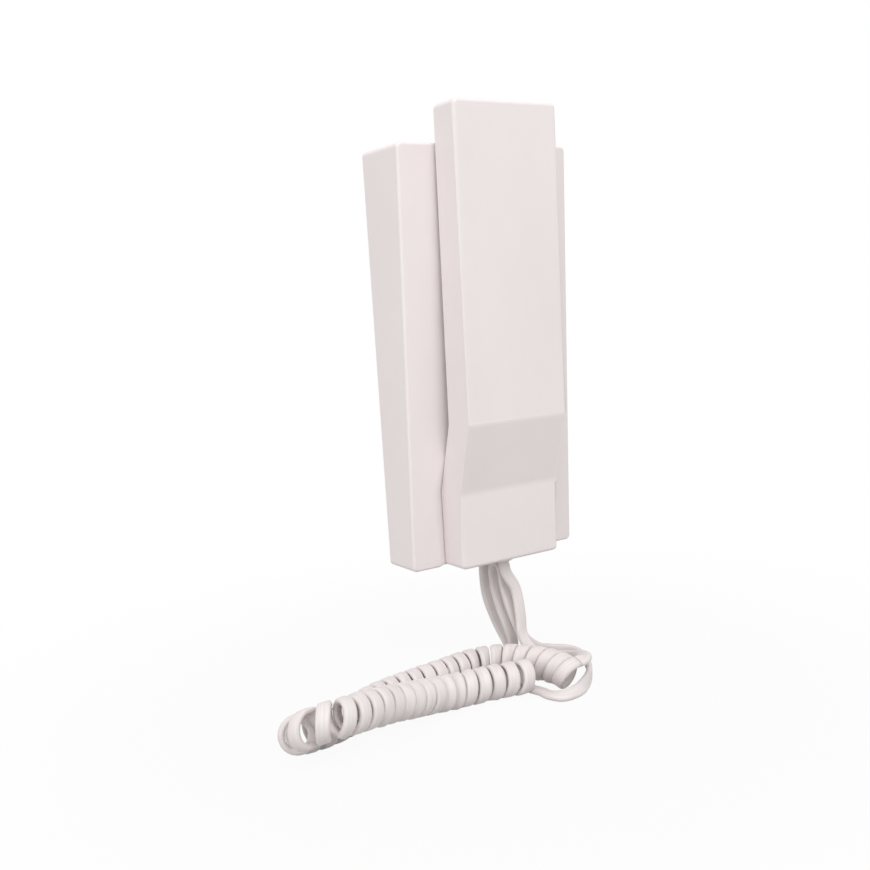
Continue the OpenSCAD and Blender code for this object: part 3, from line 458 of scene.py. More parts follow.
@dataclass
class Bench:
    """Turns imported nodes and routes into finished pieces."""

    merge_gap: float = 2e-6
    flat_degrees: float = 0.6
    sharp_degrees: float = 38.0
    made: dict[str, bpy.types.Material] = field(default_factory=dict)

    def take(self, piece: bpy.types.Object) -> None:
        """Select one piece alone and make it active.

        Args:
            piece: The piece.
        """
        bpy.ops.object.select_all(action="DESELECT")
        piece.select_set(True)
        bpy.context.view_layer.objects.active = piece

    def coat(self, piece: bpy.types.Object, finish: Finish) -> None:
        """Give a piece one finish, whose material is made once.

        Args:
            piece: The piece.
            finish: Its finish.
        """
        if finish.name not in self.made:
            self.made[finish.name] = finish.material()
        piece.data.materials.clear()
        piece.data.materials.append(self.made[finish.name])

    def dress(self, node: str, finish: Finish) -> None:
        """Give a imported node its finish."""
        self.coat(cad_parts[node], finish)
        LOG.info("dressed %s in %s", node, finish.name)

    def copied(self, node: str) -> bpy.types.Object:
        """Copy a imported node's mesh into a new piece, merged into flat faces.

        Args:
            node: The node's name.

        Returns:
            The new piece.
        """
        piece = bpy.data.objects.new(node + "_moulding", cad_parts[node].data.copy())
        bpy.context.scene.collection.objects.link(piece)
        self.take(piece)
        bpy.ops.mesh.customdata_custom_splitnormals_clear()
        bpy.ops.object.mode_set(mode="EDIT")
        bpy.ops.mesh.select_all(action="SELECT")
        bpy.ops.mesh.remove_doubles(threshold=self.merge_gap)
        bpy.ops.mesh.dissolve_limited(angle_limit=math.radians(self.flat_degrees))
        bpy.ops.object.mode_set(mode="OBJECT")
        return piece

    def edges(self, piece: bpy.types.Object) -> Iterator[EdgeView]:
        """Look at each edge between two faces.

        Args:
            piece: The piece.

        Yields:
            What each edge looks like.
        """
        mesh = piece.data
        sides: dict[int, list] = {}
        for face in mesh.polygons:
            for loop in face.loop_indices:
                corner = mesh.loops[loop]
                side = (face.normal.copy(), corner.vertex_index, face.area)
                sides.setdefault(corner.edge_index, []).append(side)
        for index, pair in sides.items():
            if len(pair) != 2:
                continue
            (first, start, _), (second, _, _) = pair
            low, high = mesh.edges[index].vertices
            from_end = mesh.vertices[start].co
            to_end = mesh.vertices[high if low == start else low].co
            run = to_end - from_end
            bulge = first.cross(second).dot(run.normalized())
            front = min(pair, key=lambda side: side[0].y)
            yield EdgeView(index, (to_end + from_end) / 2, run.length, first, second, bulge, front[2])

    def soften(self, piece: bpy.types.Object, rounding: Rounding) -> int:
        """Round the edges that a rounding takes.

        Args:
            piece: The piece.
            rounding: The rounding.

        Returns:
            How many edges were rounded.
        """
        self.take(piece)
        bpy.context.tool_settings.mesh_select_mode = (False, True, False)
        bpy.ops.object.mode_set(mode="EDIT")
        bpy.ops.mesh.select_all(action="DESELECT")
        bpy.ops.object.mode_set(mode="OBJECT")
        picked = [view.index for view in self.edges(piece) if rounding.wanted(view)]
        for index in picked:
            piece.data.edges[index].select = True
        bpy.ops.object.mode_set(mode="EDIT")
        if picked:
            bpy.ops.mesh.bevel(offset=rounding.width, segments=rounding.segments, profile=0.5,
                               affect="EDGES", clamp_overlap=False, loop_slide=False, miter_outer="SHARP")
        bpy.ops.object.mode_set(mode="OBJECT")
        return len(picked)

    def smooth(self, piece: bpy.types.Object) -> None:
        """Shade a piece smooth with flat faces kept flat and sharp edges kept sharp.

        Args:
            piece: The piece.
        """
        self.take(piece)
        bpy.ops.object.shade_smooth_by_angle(angle=math.radians(self.sharp_degrees))
        even = piece.modifiers.new("even", "WEIGHTED_NORMAL")
        even.keep_sharp = True
        even.weight = 100
        bpy.ops.object.modifier_apply(modifier=even.name)

    def finish(self, piece: bpy.types.Object, finish: Finish, body: Body, slot: Slot, *nodes: str) -> None:
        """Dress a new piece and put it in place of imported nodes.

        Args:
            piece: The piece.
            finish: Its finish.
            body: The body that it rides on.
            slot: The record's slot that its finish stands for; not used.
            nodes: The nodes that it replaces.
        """
        self.coat(piece, finish)
        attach(piece, body.value)
        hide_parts(*nodes)
        LOG.info("made %s: %d faces, rides %s", piece.name, len(piece.data.polygons), body.value)

    def mould(self, node: str, finish: Finish, body: Body, slot: Slot, *roundings: Rounding) -> None:
        """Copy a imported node, round the copy and put it in the node's place.

        Args:
            node: The node's name.
            finish: The copy's finish.
            body: The body that it rides on.
            slot: The record's slot that its finish stands for.
            roundings: Its roundings, in order.
        """
        piece = self.copied(node)
        for rounding in roundings:
            count = self.soften(piece, rounding)
            LOG.info("rounded %d edges of %s by %.2f mm", count, node, rounding.width / MM)
        self.smooth(piece)
        self.finish(piece, finish, body, slot, node)

    def wires(self, name: str, routes: Sequence[Sequence[Vector]], radius: float, bends: bool
              ) -> bpy.types.Object:
        """Make smooth round wires along routes.

        Args:
            name: The piece's name.
            routes: The points of each wire.
            radius: The wires' radius.
            bends: Whether the points are bends to be rounded.

        Returns:
            The new piece, a mesh.
        """
        curve = bpy.data.curves.new(name, "CURVE")
        curve.dimensions = "3D"
        curve.bevel_depth = radius
        curve.bevel_resolution = 3
        curve.use_fill_caps = True
        curve.resolution_u = 8
        for route in routes:
            spline = curve.splines.new("NURBS" if bends else "POLY")
            spline.points.add(len(route) - 1)
            for point, spot in zip(spline.points, route):
                point.co = (*spot, 1.0)
            if bends:
                spline.use_endpoint_u = True
                spline.order_u = 3
        piece = bpy.data.objects.new(name, curve)
        bpy.context.scene.collection.objects.link(piece)
        self.take(piece)
        bpy.ops.object.convert(target="MESH")
        piece = bpy.context.view_layer.objects.active
        bpy.ops.object.shade_smooth()
        return piece


# Which edges are rounded, by sines and cosines of their faces' angles and by sizes in metres

STANDS_OUT = 0.4
STANDS_SHARP = 0.6
FACES = 0.8
ASIDE = 0.45
WIDE_FACE = 1e-4
LEAST_BEND = math.radians(3)
LEAST_EDGE = 0.0007


def faces_front(view: EdgeView) -> bool:
    """Whether an edge stands out between a wide front face and a side."""
    front, side = sorted((view.first.y, view.second.y))
    return view.bulge > STANDS_OUT and front < -FACES and side > -ASIDE and view.front_area > WIDE_FACE


def faces_back(view: EdgeView) -> bool:
    """Whether an edge stands out between a back face and a side."""
    side, back = sorted((view.first.y, view.second.y))
    return view.bulge > STANDS_OUT and back > FACES and side < ASIDE


def crosses_front(view: EdgeView) -> bool:
    """Whether an edge is a bend between two front faces."""
    bend = view.first.angle(view.second, 0.0)
    return max(view.first.y, view.second.y) < -FACES and bend > LEAST_BEND


def stands_sharp(view: EdgeView) -> bool:
    """Whether an edge stands out sharply and isn't tiny."""
    return view.bulge > STANDS_SHARP and view.length > LEAST_EDGE


# Cord

Route = list[list[float]]


def blended(first: Sequence[float], second: Sequence[float], share: float) -> list[float]:
    """Numbers between two rows of numbers."""
    return [a + (b - a) * share for a, b in zip(first, second)]


def gap_between(first: Sequence[float], second: Sequence[float]) -> float:
    """How far two route points lie apart."""
    return (Vector(second[:3]) - Vector(first[:3])).length


def wide_to_right(points: Route) -> Route:
    """Route points at which the cord's width points to the right."""
    return [[*point, 1, 0, 0] for point in points]


def slopes(route: Route) -> Route:
    """Slopes of a smooth curve through points that aren't evenly spaced.

    Args:
        route: The points.

    Returns:
        The slope at each point.
    """
    last = len(route) - 1
    steps = [gap_between(route[i], route[i + 1]) for i in range(last)]
    found = []
    for i in range(last + 1):
        if i in (0, last):
            low = min(i, last - 1)
            found.append([(b - a) / steps[low] for a, b in zip(route[low], route[low + 1])])
        else:
            before, after = steps[i - 1], steps[i]
            found.append([((c - b) * before / after + (b - a) * after / before) / (before + after)
                          for a, b, c in zip(route[i - 1], route[i], route[i + 1])])
    return found


def smoothed(route: Route, step: float) -> Route:
    """A smooth curve through points.

    Args:
        route: The points.
        step: About how far apart the curve's points are.

    Returns:
        The curve's points.
    """
    slope = slopes(route)
    line = [list(route[0])]
    for i in range(len(route) - 1):
        reach = gap_between(route[i], route[i + 1])
        count = max(1, math.floor(reach / step + 0.5))
        for j in range(1, count + 1):
            t = j / count
            u = 1 - t
            weights = ((1 + 2 * t) * u * u, reach * t * u * u, (3 - 2 * t) * t * t, -reach * t * t * u)
            line.append([sum(w * v for w, v in zip(weights, values))
                         for values in zip(route[i], slope[i], route[i + 1], slope[i + 1])])
    return line


def headings(line: Sequence[Sequence[float]]) -> list[Vector]:
    """The direction of a line at each of its points."""
    last = len(line) - 1
    return [(Vector(line[min(i + 1, last)][:3]) - Vector(line[max(i - 1, 0)][:3])).normalized()
            for i in range(last + 1)]


@dataclass(frozen=True)
class Ring:
    """One section of the cord: its middle, its direction and the way that its width points."""

    middle: Vector
    heading: Vector
    width: Vector


@dataclass(frozen=True)
class AxisPoint:
    """A point of the line that the curls wind round: its place, direction and bend, how far the curls
    lean and swing there, how far apart they lie, and how many have been wound so far."""

    place: Sequence[float]
    heading: Vector
    bend: Vector
    lean: float
    swing: float
    pitch: float
    turn: float

    def towards(self, other: "AxisPoint", share: float) -> "AxisPoint":
        """A point between this one and another.

        Args:
            other: The other point.
            share: How far towards it, from 0 to 1.

        Returns:
            The point.
        """
        heading = self.heading.lerp(other.heading, share).normalized()
        bend = self.bend.lerp(other.bend, share)
        ends = [(point.lean, point.swing, point.pitch, point.turn) for point in (self, other)]
        return AxisPoint(blended(self.place, other.place, share), heading, bend, *blended(*ends, share))


@dataclass
class CurlyCord:
    """The flat curly cord from the wall unit to the handset, folded once on the floor; sizes in
    millimetres, angles in degrees."""

    bench: Bench
    width: float = 5.4
    thickness: float = 2.4
    curl_radius: float = 5.9
    curl_pitch: float = 6.05
    curl_gap: float = 0.65
    far_lean: float = 25.0
    far_turn: float = 25.0
    near_turn: float = 28.0
    slant_run: float = 26.0
    lead: float = 2.0
    fold_at: tuple[float, float] = (-111, -64.5)
    fold_rise: float = 5.5
    fold_radius: float = 11
    fold_tip: float = 30
    fold_pitch: float = 3.4
    axis_z: float = -130.8
    edge_z: float = -135.1
    floor_z: float = -138.0
    low_z: float = -90.0
    tail_top: float = -91.5
    base_exit_y: float = -10.5
    handset_exit_y: float = -25.25
    stays_at: Place = (10.5, -41.0, -134.1)
    axis_step: float = 1.6
    tail_step: float = 0.9
    rings_per_curl: int = 24
    sides_per_edge: int = 8

    def axis_route(self) -> Route:
        """The points that the curls wind round, from the handset's end.

        Returns:
            The points.
        """
        z = self.axis_z
        far = [[x, y, z] for x, y in (
            (-3, -72.5), (-2.2, -67), (-2.2, -61), (-3.6, -54), (-7.4, -46.5), (-13, -40.7), (-20.5, -37),
            (-28.5, -36), (-37, -36.9), (-50, -38.8), (-66, -40.8), (-78, -43.5), (-90, -48.5),
            (-102, -53.5))]
        near = [[x, y, z + rise] for x, y, rise in (
            (-103, -72.5, 10), (-92, -68.5, 8.5), (-80, -64, 6), (-67, -60, 3), (-54, -56.5, 0.8),
            (-43, -57, 0), (-30, -58.5, 0), (-22, -60.8, 0), (-15.5, -63.4, 0))]
        x, y = self.fold_at
        tip = math.radians(self.fold_tip)
        fold = []
        for degrees in range(0, 181, 15):
            a = math.radians(degrees)
            back = self.fold_radius * math.cos(a)
            fold.append([x - self.fold_radius * math.sin(a), y + back * math.cos(tip),
                         z + self.fold_rise - back * math.sin(tip)])
        return far + fold + near

    def handset_route(self) -> Route:
        """The handset's straight end: points and the way that the width points.

        Returns:
            The points, six numbers each.
        """
        y, top, low, edge = self.handset_exit_y, self.tail_top, self.low_z, self.edge_z
        hangs = wide_to_right([[0, y, top], [1, y, top - 5], [5.2, -26, low - 15]])
        return hangs + [
            [5.5, -28.5, low - 27, 1, 0, 0.1], [4.5, -31, low - 36, 0.8, 0.2, 0.5],
            [6, -35.5, self.floor_z + 6, 0.4, 0.2, 0.9], [10.5, -41, edge + 1, 0, 0, 1],
            [13, -48, edge + 1.8, 0.1, -0.1, 0.95], [13, -56, edge + 3.8, 0.25, -0.1, 0.92],
            [10.2, -64.5, edge + 7, 0.5, -0.4, 0.7], [7.8, -69.6, edge + 8.6, 0.55, -0.65, 0.4],
            [5, -73, edge + 9.4, 0.4, -0.85, 0]]

    def base_route(self) -> Route:
        """The wall unit's straight end: points and the way that the width points.

        Returns:
            The points, six numbers each.
        """
        y, top, low, edge = self.base_exit_y, self.tail_top, self.low_z, self.edge_z
        hangs = wide_to_right([
            [0, y, top], [-0.5, y, top - 8], [0.3, y, low - 20], [3, -11, low - 29.5],
            [5.6, -12.9, low - 38], [6.7, -15.2, low - 42.6], [7.05, -16, low - 44.3],
            [7.2, -17.7, low - 45], [7, -19.4, low - 44.3], [6.6, -20.2, low - 42.6],
            [4.8, -19.9, low - 35], [2.7, -17.4, low - 25], [1.3, -15.6, low - 14],
            [1.6, -15.4, low - 6.6], [1.75, -16.1, low - 4.9], [2, -17.8, low - 4.2],
            [2.3, -19.5, low - 4.9], [2.6, -20.2, low - 6.6], [3.2, -20.6, low - 14],
            [4.5, -22.4, low - 24]])
        return hangs + [
            [6.5, -25, low - 33, 0.9, 0.1, 0.3], [9.5, -27, low - 40.5, 0.6, 0.2, 0.8],
            [13.5, -29.5, edge + 1, 0.1, 0, 1], [18.5, -33.5, edge, 0, 0, 1], [22.6, -38.5, edge, 0, 0, 1],
            [24, -44, edge, 0, 0, 1], [22.8, -50, edge, 0, 0, 1], [19, -57.5, edge, 0, 0, 1],
            [12, -67, edge, 0, 0, 1], [3, -74.8, edge - 0.2, -0.2, 0.3, 0.9],
            [-5, -78.8, edge - 0.5, -0.2, 0.7, 0.7], [-11.8, -78.2, edge - 1, 0.3, 0.8, 0.45],
            [-14.6, -73.2, edge - 1.4, 0.9, 0.35, 0.1]]

    def tip_angle(self, spacing: float) -> float:
        """How far a curl's flat strand tips up where the curls lie too close to lie flat.

        Args:
            spacing: How far the curls lie apart there.

        Returns:
            The angle in radians.
        """
        flat = self.width - self.thickness
        clear = self.thickness + self.curl_gap
        if spacing >= flat + clear:
            return 0.0
        share = (spacing * spacing + flat * flat - clear * clear) / (2 * spacing * flat)
        if spacing * share >= flat:
            return math.acos(min(1.0, share))
        return math.asin(min(1.0, clear / spacing))

    def axis(self) -> list[AxisPoint]:
        """The line that the curls wind round, with how they lie along it.

        Returns:
            Its points.
        """
        line = smoothed(self.axis_route(), self.axis_step)
        heading = headings(line)
        last = len(line) - 1
        length = [0.0]
        for i in range(last):
            length.append(length[-1] + gap_between(line[i], line[i + 1]))
        points: list[AxisPoint] = []
        turn = 0.0
        for i, s in enumerate(length):
            low, high = max(i - 1, 0), min(i + 1, last)
            bend = (heading[high] - heading[low]) / (length[high] - length[low])
            start = max(0.0, 1 - s / self.slant_run)
            close = max(0.0, 1 - (length[-1] - s) / self.slant_run)
            lean = math.radians(self.far_lean * start)
            swing = math.radians(self.far_turn * start + self.near_turn * close)
            flat = self.curl_pitch / math.cos(lean) / math.cos(swing)
            pitch = max(flat, self.fold_pitch / (1 - bend.length * self.curl_radius))
            if points:
                turn += 2 * (s - length[i - 1]) / (pitch + points[-1].pitch)
            points.append(AxisPoint(line[i], heading[i], bend, lean, swing, pitch, turn))
        return points

    def strand(self, here: AxisPoint, angle: float) -> tuple[Vector, Vector, Vector]:
        """Where the strand lies at an angle round the axis.

        Args:
            here: The axis there.
            angle: The angle from the top in radians.

        Returns:
            The strand's middle, the way that its width points, and the curl's side.
        """
        ahead = here.heading
        level = (Vector((0, 0, 1)) - ahead * ahead.z).normalized()
        right = ahead.cross(level)
        facing = ahead * math.cos(here.swing) - right * math.sin(here.swing)
        side = right * math.cos(here.swing) + ahead * math.sin(here.swing)
        up = level * math.cos(here.lean) - facing * math.sin(here.lean)
        across = facing * math.cos(here.lean) + level * math.sin(here.lean)
        out = up * math.cos(angle) - side * math.sin(angle)
        tip = self.tip_angle(here.pitch * (1 - self.curl_radius * out.dot(here.bend)))
        middle = Vector(here.place) + out * self.curl_radius
        return middle, across * math.cos(tip) + out * math.sin(tip), side

    def curls(self) -> list[Ring]:
        """The curls' rings from the handset's end to the wall unit's end.

        Returns:
            The rings.
        """
        axis = self.axis()
        wound = axis[-1].turn
        count = math.floor(wound) - 0.5
        turns = [point.turn * count / wound for point in axis]
        total = round(count * self.rings_per_curl)
        strands = []
        spot = 0
        for k in range(total + 1):
            now = count * k / total
            while spot < len(axis) - 2 and turns[spot + 1] < now:
                spot += 1
            share = (now - turns[spot]) / (turns[spot + 1] - turns[spot])
            here = axis[spot].towards(axis[spot + 1], share)
            strands.append(self.strand(here, 2 * math.pi * now))
        ways = headings([middle for middle, _, _ in strands])
        ways[0] = self.level_way(axis[0].heading, -strands[0][2])
        ways[-1] = self.level_way(axis[-1].heading, strands[-1][2])
        return [Ring(middle, way, width) for (middle, width, _), way in zip(strands, ways)]

    def level_way(self, ahead: Vector, side: Vector) -> Vector:
        """The level direction in which a curl leaves the coil, between ahead and a side."""
        return (ahead * self.curl_pitch / (2 * math.pi * self.curl_radius) + side).normalized()

    def tail(self, route: Route, end: Vector, heading: Vector, width: Vector) -> list[Ring]:
        """The rings of a straight end, from its grommet to the coil.

        Args:
            route: Its points.
            end: Where it meets the coil.
            heading: Its direction there.
            width: The way that its width points there.

        Returns:
            The rings.
        """
        near = end - heading * self.lead
        line = smoothed(route + [[*near, *width], [*end, *width]], self.tail_step)
        ways = headings(line)
        ways[0] = Vector((0, 0, -1))
        ways[-1] = heading
        return [Ring(Vector(p[:3]), w, Vector(p[3:])) for p, w in zip(line, ways)]

    def section(self) -> list[tuple[float, float]]:
        """The flat section's outline with round edges.

        Returns:
            Points across its width and its thickness.
        """
        half = self.thickness / 2
        flat = self.width / 2 - half
        points = []
        for side in (1, -1):
            for k in range(self.sides_per_edge):
                a = math.pi * (k / (self.sides_per_edge - 1) - 0.5)
                points.append((side * (flat + half * math.cos(a)), side * half * math.sin(a)))
        return points

    def skin(self, name: str, rings: Sequence[Ring]) -> bpy.types.Object:
        """Make a tube of the flat section along rings.

        Args:
            name: The piece's name.
            rings: The rings.

        Returns:
            The new piece, in metres, with a UV map in metres along and round it.
        """
        outline = self.section()
        sides = len(outline)
        round_at = [0.0]
        for k in range(sides):
            a, b = outline[k], outline[(k + 1) % sides]
            round_at.append(round_at[-1] + math.dist(a, b))
        points, faces, along = [], [], [0.0]
        for i, ring in enumerate(rings):
            across = (ring.width - ring.heading * ring.width.dot(ring.heading)).normalized()
            over = ring.heading.cross(across)
            points.extend((ring.middle + across * a + over * b) * MM for a, b in outline)
            if i:
                along.append(along[-1] + (ring.middle - rings[i - 1].middle).length)
        for i in range(len(rings) - 1):
            for k in range(sides):
                n = (k + 1) % sides
                faces.append((i * sides + k, i * sides + n, (i + 1) * sides + n, (i + 1) * sides + k))
        last = (len(rings) - 1) * sides
        faces.append(tuple(reversed(range(sides))))
        faces.append(tuple(range(last, last + sides)))
        mesh = bpy.data.meshes.new(name)
        mesh.from_pydata(points, [], faces)
        uv = mesh.uv_layers.new(name="along")
        for face in mesh.polygons[:-2]:
            face.use_smooth = True
            i, k = divmod(face.index, sides)
            spots = ((i, k), (i, k + 1), (i + 1, k + 1), (i + 1, k))
            for loop, (a, b) in zip(face.loop_indices, spots):
                uv.data[loop].uv = (along[a] * MM, round_at[b] * MM)
        mesh.validate()
        piece = bpy.data.objects.new(name, mesh)
        bpy.context.scene.collection.objects.link(piece)
        return piece

    def build(self) -> None:
        curls = self.curls()
        start = curls[0].middle - curls[0].heading * self.lead
        end = curls[-1].middle + curls[-1].heading * self.lead
        upper = self.tail(self.handset_route(), start, curls[0].heading, -curls[0].width)
        lower = self.tail(self.base_route(), end, -curls[-1].heading, curls[-1].width)
        wound = [Ring(r.middle, -r.heading, r.width) for r in reversed(curls)]
        opened = [Ring(start, -curls[0].heading, curls[0].width)]
        self.finish("cord_to_wall_unit", lower + wound + opened, Body.BASE,
                    Vector((0, self.base_exit_y, self.tail_top)), "cord_base_tail", "cord_coil")
        self.finish("cord_to_handset", upper, None,
                    Vector((0, self.handset_exit_y, self.tail_top)), "cord_handset_tail")

    def finish(self, name: str, rings: Sequence[Ring], body: Optional[Body], leaves: Vector,
               *nodes: str) -> None:
        """Skin and dress one length of the cord.

        Args:
            name: The piece's name.
            rings: Its rings.
            body: The body that it rides on, or none.
            leaves: Where it leaves its grommet, in millimetres; not used.
            nodes: The nodes that it replaces.
        """
        piece = self.skin(name, rings)
        self.bench.coat(piece, CORD)
        path = [ring.middle * MM for ring in rings]
        length = sum((b - a).length for a, b in zip(path, path[1:]))
        if body:
            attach(piece, body.value)
        else:
            stays = tuple(Vector(self.stays_at) * MM)
            tuple(path[0])
            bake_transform(piece)
        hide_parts(*nodes)
        self.width * MM
        LOG.info("made %s: %.3f m long", name, length)


# Wall unit and handset

@dataclass
class WallUnit:
    """The wedge-shaped unit on the wall, with what it holds; sizes in metres."""

    bench: Bench
    outer_round: float = 0.0012
    small_round: float = 0.00025
    fine_round: float = 0.00009
    outline_reach: float = 0.003
    spring_wire: float = 0.00035
    spring_turns: int = 2
    spring_steps: int = 24
    spring_foot: float = 0.005
    spring_tip: float = 0.002
    pivot: Place = (0.0, -0.019, 0.034)

    def build(self) -> None:
        """Make and dress the wall unit's pieces."""
        self.build_housing()
        self.bench.mould("wall_plate", WHITE, Body.BASE, Slot.WHITE_PLASTIC,
                         Rounding(self.small_round, faces_back, 2))
        self.build_controls()
        self.build_spring()
        self.dress_inside()

    def build_housing(self) -> None:
        """Round the outer outline of the housing's front."""
        low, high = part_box("base_housing")

        def on_outline(view: EdgeView) -> bool:
            """Whether an edge lies on the front's outer outline."""
            inwards = [*(view.middle - low).xz, *(high - view.middle).xz]
            return faces_front(view) and min(inwards) < self.outline_reach

        self.bench.mould("base_housing", WHITE, Body.BASE, Slot.WHITE_PLASTIC,
                         Rounding(self.outer_round, on_outline, 5))

    def build_controls(self) -> None:
        """Round the lever, the button and the slider."""
        for node, body, finish, slot, width in (
                ("hook_lever", Body.LEVER, WHITE, Slot.WHITE_PLASTIC, self.small_round),
                ("release_button", Body.BUTTON, BUTTON, Slot.BUTTON_PLASTIC, self.small_round),
                ("volume_slider", Body.SLIDER, WHITE, Slot.WHITE_PLASTIC, self.fine_round)):
            self.bench.mould(node, finish, body, slot, Rounding(width, stands_sharp))

    def build_spring(self) -> None:
        """Wind the lever's spring as a smooth wire in its node's place."""
        low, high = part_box("lever_spring")
        pivot = Vector(self.pivot)
        radius = pivot.y - low.y - self.spring_wire
        start = low.x + self.spring_wire
        pitch = (high.x - self.spring_wire - start) / self.spring_turns
        wound = []
        for k in range(self.spring_turns * self.spring_steps + 1):
            a = 2 * math.pi * k / self.spring_steps
            wound.append(Vector((start + pitch * k / self.spring_steps, pivot.y - radius * math.cos(a),
                                 pivot.z + radius * math.sin(a))))
        first = wound[0] - Vector((0, 0, self.spring_foot))
        last = wound[-1] + Vector((0, 0, self.spring_tip))
        piece = self.bench.wires("lever_spring_wire", [[first] + wound + [last]], self.spring_wire, False)
        self.bench.finish(piece, STEEL, Body.BASE, Slot.STEEL, "lever_spring")

    def dress_inside(self) -> None:
        """Dress the pieces inside the wall unit."""
        for node, finish in (
                ("locking_screw", STEEL), ("circuit_board", MASK), ("board_screws", STEEL),
                ("terminal_block", TERMINAL), ("terminal_screws", STEEL), ("call_sounder", BLACK),
                ("hook_switch", BLACK), ("lever_pin", STEEL), ("release_switch", BLACK),
                ("volume_switch", BLACK), ("capacitors", SLEEVE), ("control_chip", BLACK),
                ("base_grommet", GROMMET)):
            self.bench.dress(node, finish)


@dataclass
class Handset:
    """The bar handset, with what it holds; sizes in metres."""

    bench: Bench
    outer_round: float = 0.0016
    bend_round: float = 0.0012
    small_round: float = 0.00025
    lead_radius: float = 0.0006

    def build(self) -> None:
        """Make and dress the handset's pieces."""
        back = Rounding(self.small_round, faces_back, 2)
        self.bench.mould("handset_front_shell", WHITE, Body.HANDSET, Slot.WHITE_PLASTIC,
                         Rounding(self.bend_round, crosses_front),
                         Rounding(self.outer_round, faces_front, 5), back)
        self.bench.mould("handset_rear_cover", WHITE, Body.HANDSET, Slot.WHITE_PLASTIC, back)
        self.build_leads()
        self.dress_inside()

    def build_leads(self) -> None:
        """Lay the two leads from the grommet to the receiver, routed in millimetres, as smooth wires."""
        right = [(3, -25.25, -86.6), (3, -25.25, -83), (10, -25.25, -76), (16, -26.25, -64),
                 (17, -27.9, -50), (17, -34.03, -30), (17, -36.49, -14), (17, -37.25, 20),
                 (16, -37.74, 42), (11, -38.05, 56), (8, -38.28, 66)]
        routes = [[Vector((x * side, y, z)) * MM for x, y, z in right] for side in (1, -1)]
        piece = self.bench.wires("handset_lead_wires", routes, self.lead_radius, True)
        self.bench.finish(piece, LEAD, Body.HANDSET, Slot.WIRE, "handset_leads")

    def dress_inside(self) -> None:
        """Dress the pieces inside the handset."""
        for node, finish in (
                ("receiver_capsule", CAPSULE), ("receiver_gasket", RUBBER), ("microphone_capsule", STEEL),
                ("microphone_boot", RUBBER), ("ballast_weight", CAST), ("cover_screws", STEEL),
                ("handset_grommet", GROMMET)):
            self.bench.dress(node, finish)


# Studio

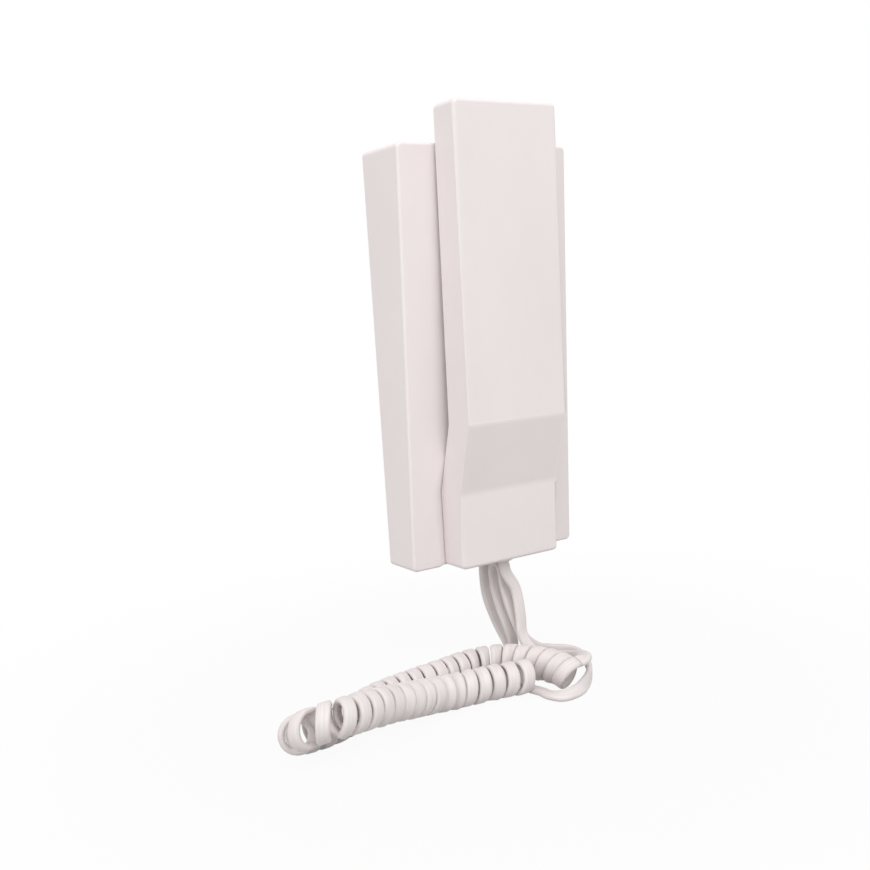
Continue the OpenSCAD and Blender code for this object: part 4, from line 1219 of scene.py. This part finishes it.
@dataclass
class Studio:
    """Camera, floor, lamps and white surroundings; sizes in metres, angles in degrees, power in watts."""

    focal_px: float = 1050.0
    frame_px: float = 870.0
    sensor_mm: float = 36.0
    azimuth: float = -32.11
    elevation: float = 7.22
    roll: float = 3.64
    camera_at: Place = (-0.267, -0.4001, 0.0252)
    floor_z: float = -0.1384
    floor_radius: float = 6.0
    floor_colour: Colour = (0.5, 0.5, 0.5)
    shadow_at: tuple[float, float] = (-0.03, -0.05)
    shadow_near: float = 0.08
    shadow_far: float = 0.3
    shadow_white: float = 0.945
    ambient: float = 0.72
    key_at: Place = (-0.2, -0.95, 1.0)
    key_size: float = 0.8
    key_power: float = 8.3
    fill_at: Place = (-1.1, -0.4, 0.5)
    fill_size: float = 0.9
    fill_power: float = 3.7

    def build(self) -> None:
        """Set up the camera, the floor and the light."""
        self.build_camera()
        self.build_floor()
        self.build_world()
        self.build_lamp("key_lamp", self.key_at, self.key_size, self.key_power)
        self.build_lamp("fill_lamp", self.fill_at, self.fill_size, self.fill_power)

    def build_camera(self) -> None:
        """Place the camera of the photograph."""
        az, el, roll = (math.radians(a) for a in (self.azimuth, self.elevation, self.roll))
        back = Vector((math.sin(az) * math.cos(el), -math.cos(az) * math.cos(el), math.sin(el)))
        right = (-back).cross(Vector((0, 0, 1))).normalized()
        down = (-back).cross(right)
        turned = right * math.cos(roll) + down * math.sin(roll)
        dropped = down * math.cos(roll) - right * math.sin(roll)
        data = bpy.data.cameras.new("photo_camera")
        data.sensor_width = self.sensor_mm
        data.lens = self.sensor_mm * self.focal_px / self.frame_px
        data.clip_start = 0.01
        camera = bpy.data.objects.new("photo_camera", data)
        bpy.context.scene.collection.objects.link(camera)
        spin = Matrix((turned, -dropped, back)).transposed().to_4x4()
        camera.matrix_world = Matrix.Translation(Vector(self.camera_at)) @ spin
        bpy.context.scene.camera = camera

    def seen_ray(self, tree: Tree) -> Wire:
        """One on rays that see the background as it looks, and else zero."""
        camera = tree.node("ShaderNodeLightPath", out="Is Camera Ray")
        return camera | camera.beside("Is Glossy Ray") | camera.beside("Is Transmission Ray")

    def build_floor(self) -> None:
        """Make the pale floor, white to the camera but for the part's soft shadow near it."""
        bpy.ops.object.select_all(action="DESELECT")
        bpy.ops.mesh.primitive_circle_add(vertices=96, radius=self.floor_radius, fill_type="NGON",
                                          location=(0, 0, self.floor_z))
        floor = bpy.context.view_layer.objects.active
        floor.name = "studio_floor"
        bpy.ops.object.transform_apply(location=True, rotation=False, scale=False)
        surface = Surface("studio_floor")
        surface.set({"Base Color": self.floor_colour, "Roughness": 0.9, "Specular IOR Level": 0.0})
        away = surface.node("ShaderNodeVectorMath", {"operation": "DISTANCE"},
                            {0: surface.place(), 1: (*self.shadow_at, self.floor_z)}, "Value")
        fade = {"Value": away, "From Min": self.shadow_near, "From Max": self.shadow_far,
                "To Min": self.shadow_white, "To Max": 1.0}
        reach = surface.node("ShaderNodeMapRange", {"interpolation_type": "SMOOTHSTEP"}, fade)
        white = surface.node("ShaderNodeEmission", None, {"Color": (1.0, 1.0, 1.0), "Strength": 1.0})
        lit = Wire(surface, surface.shader.outputs[0])
        shares = {0: self.seen_ray(surface) * reach, 1: lit, 2: white}
        mixed = surface.node("ShaderNodeMixShader", None, shares)
        surface.join(surface.tree.nodes["Material Output"], {"Surface": mixed})
        floor.data.materials.append(surface.material)

    def build_world(self) -> None:
        """Make the surroundings white to the camera and a plain soft light to the part."""
        world = bpy.data.worlds.new("studio_white")
        world.use_nodes = True
        bpy.context.scene.world = world
        tree = Tree(world.node_tree)
        strength = self.seen_ray(tree) * (1.0 - self.ambient) + self.ambient
        tree.join(world.node_tree.nodes["Background"], {"Color": (1.0, 1.0, 1.0), "Strength": strength})

    def build_lamp(self, name: str, spot: Place, size: float, power: float) -> None:
        """Hang one soft lamp that faces the origin.

        Args:
            name: The lamp's name.
            spot: Where it hangs.
            size: The side of its square face.
            power: Its power in watts.
        """
        data = bpy.data.lights.new(name, "AREA")
        data.shape = "SQUARE"
        data.size = size
        data.energy = power
        lamp = bpy.data.objects.new(name, data)
        bpy.context.scene.collection.objects.link(lamp)
        lamp.location = spot
        lamp.rotation_euler = (-Vector(spot)).to_track_quat("-Z", "Y").to_euler()


def main() -> None:
    """Build the studio, the cord, the wall unit and the handset."""
    logging.basicConfig(level=logging.INFO, format="%(message)s")
    bpy.context.scene.view_settings.view_transform = "Standard"
    bench = Bench()
    Studio().build()
    CurlyCord(bench).build()
    WallUnit(bench).build()
    Handset(bench).build()


if __name__ == "__main__":
    main()
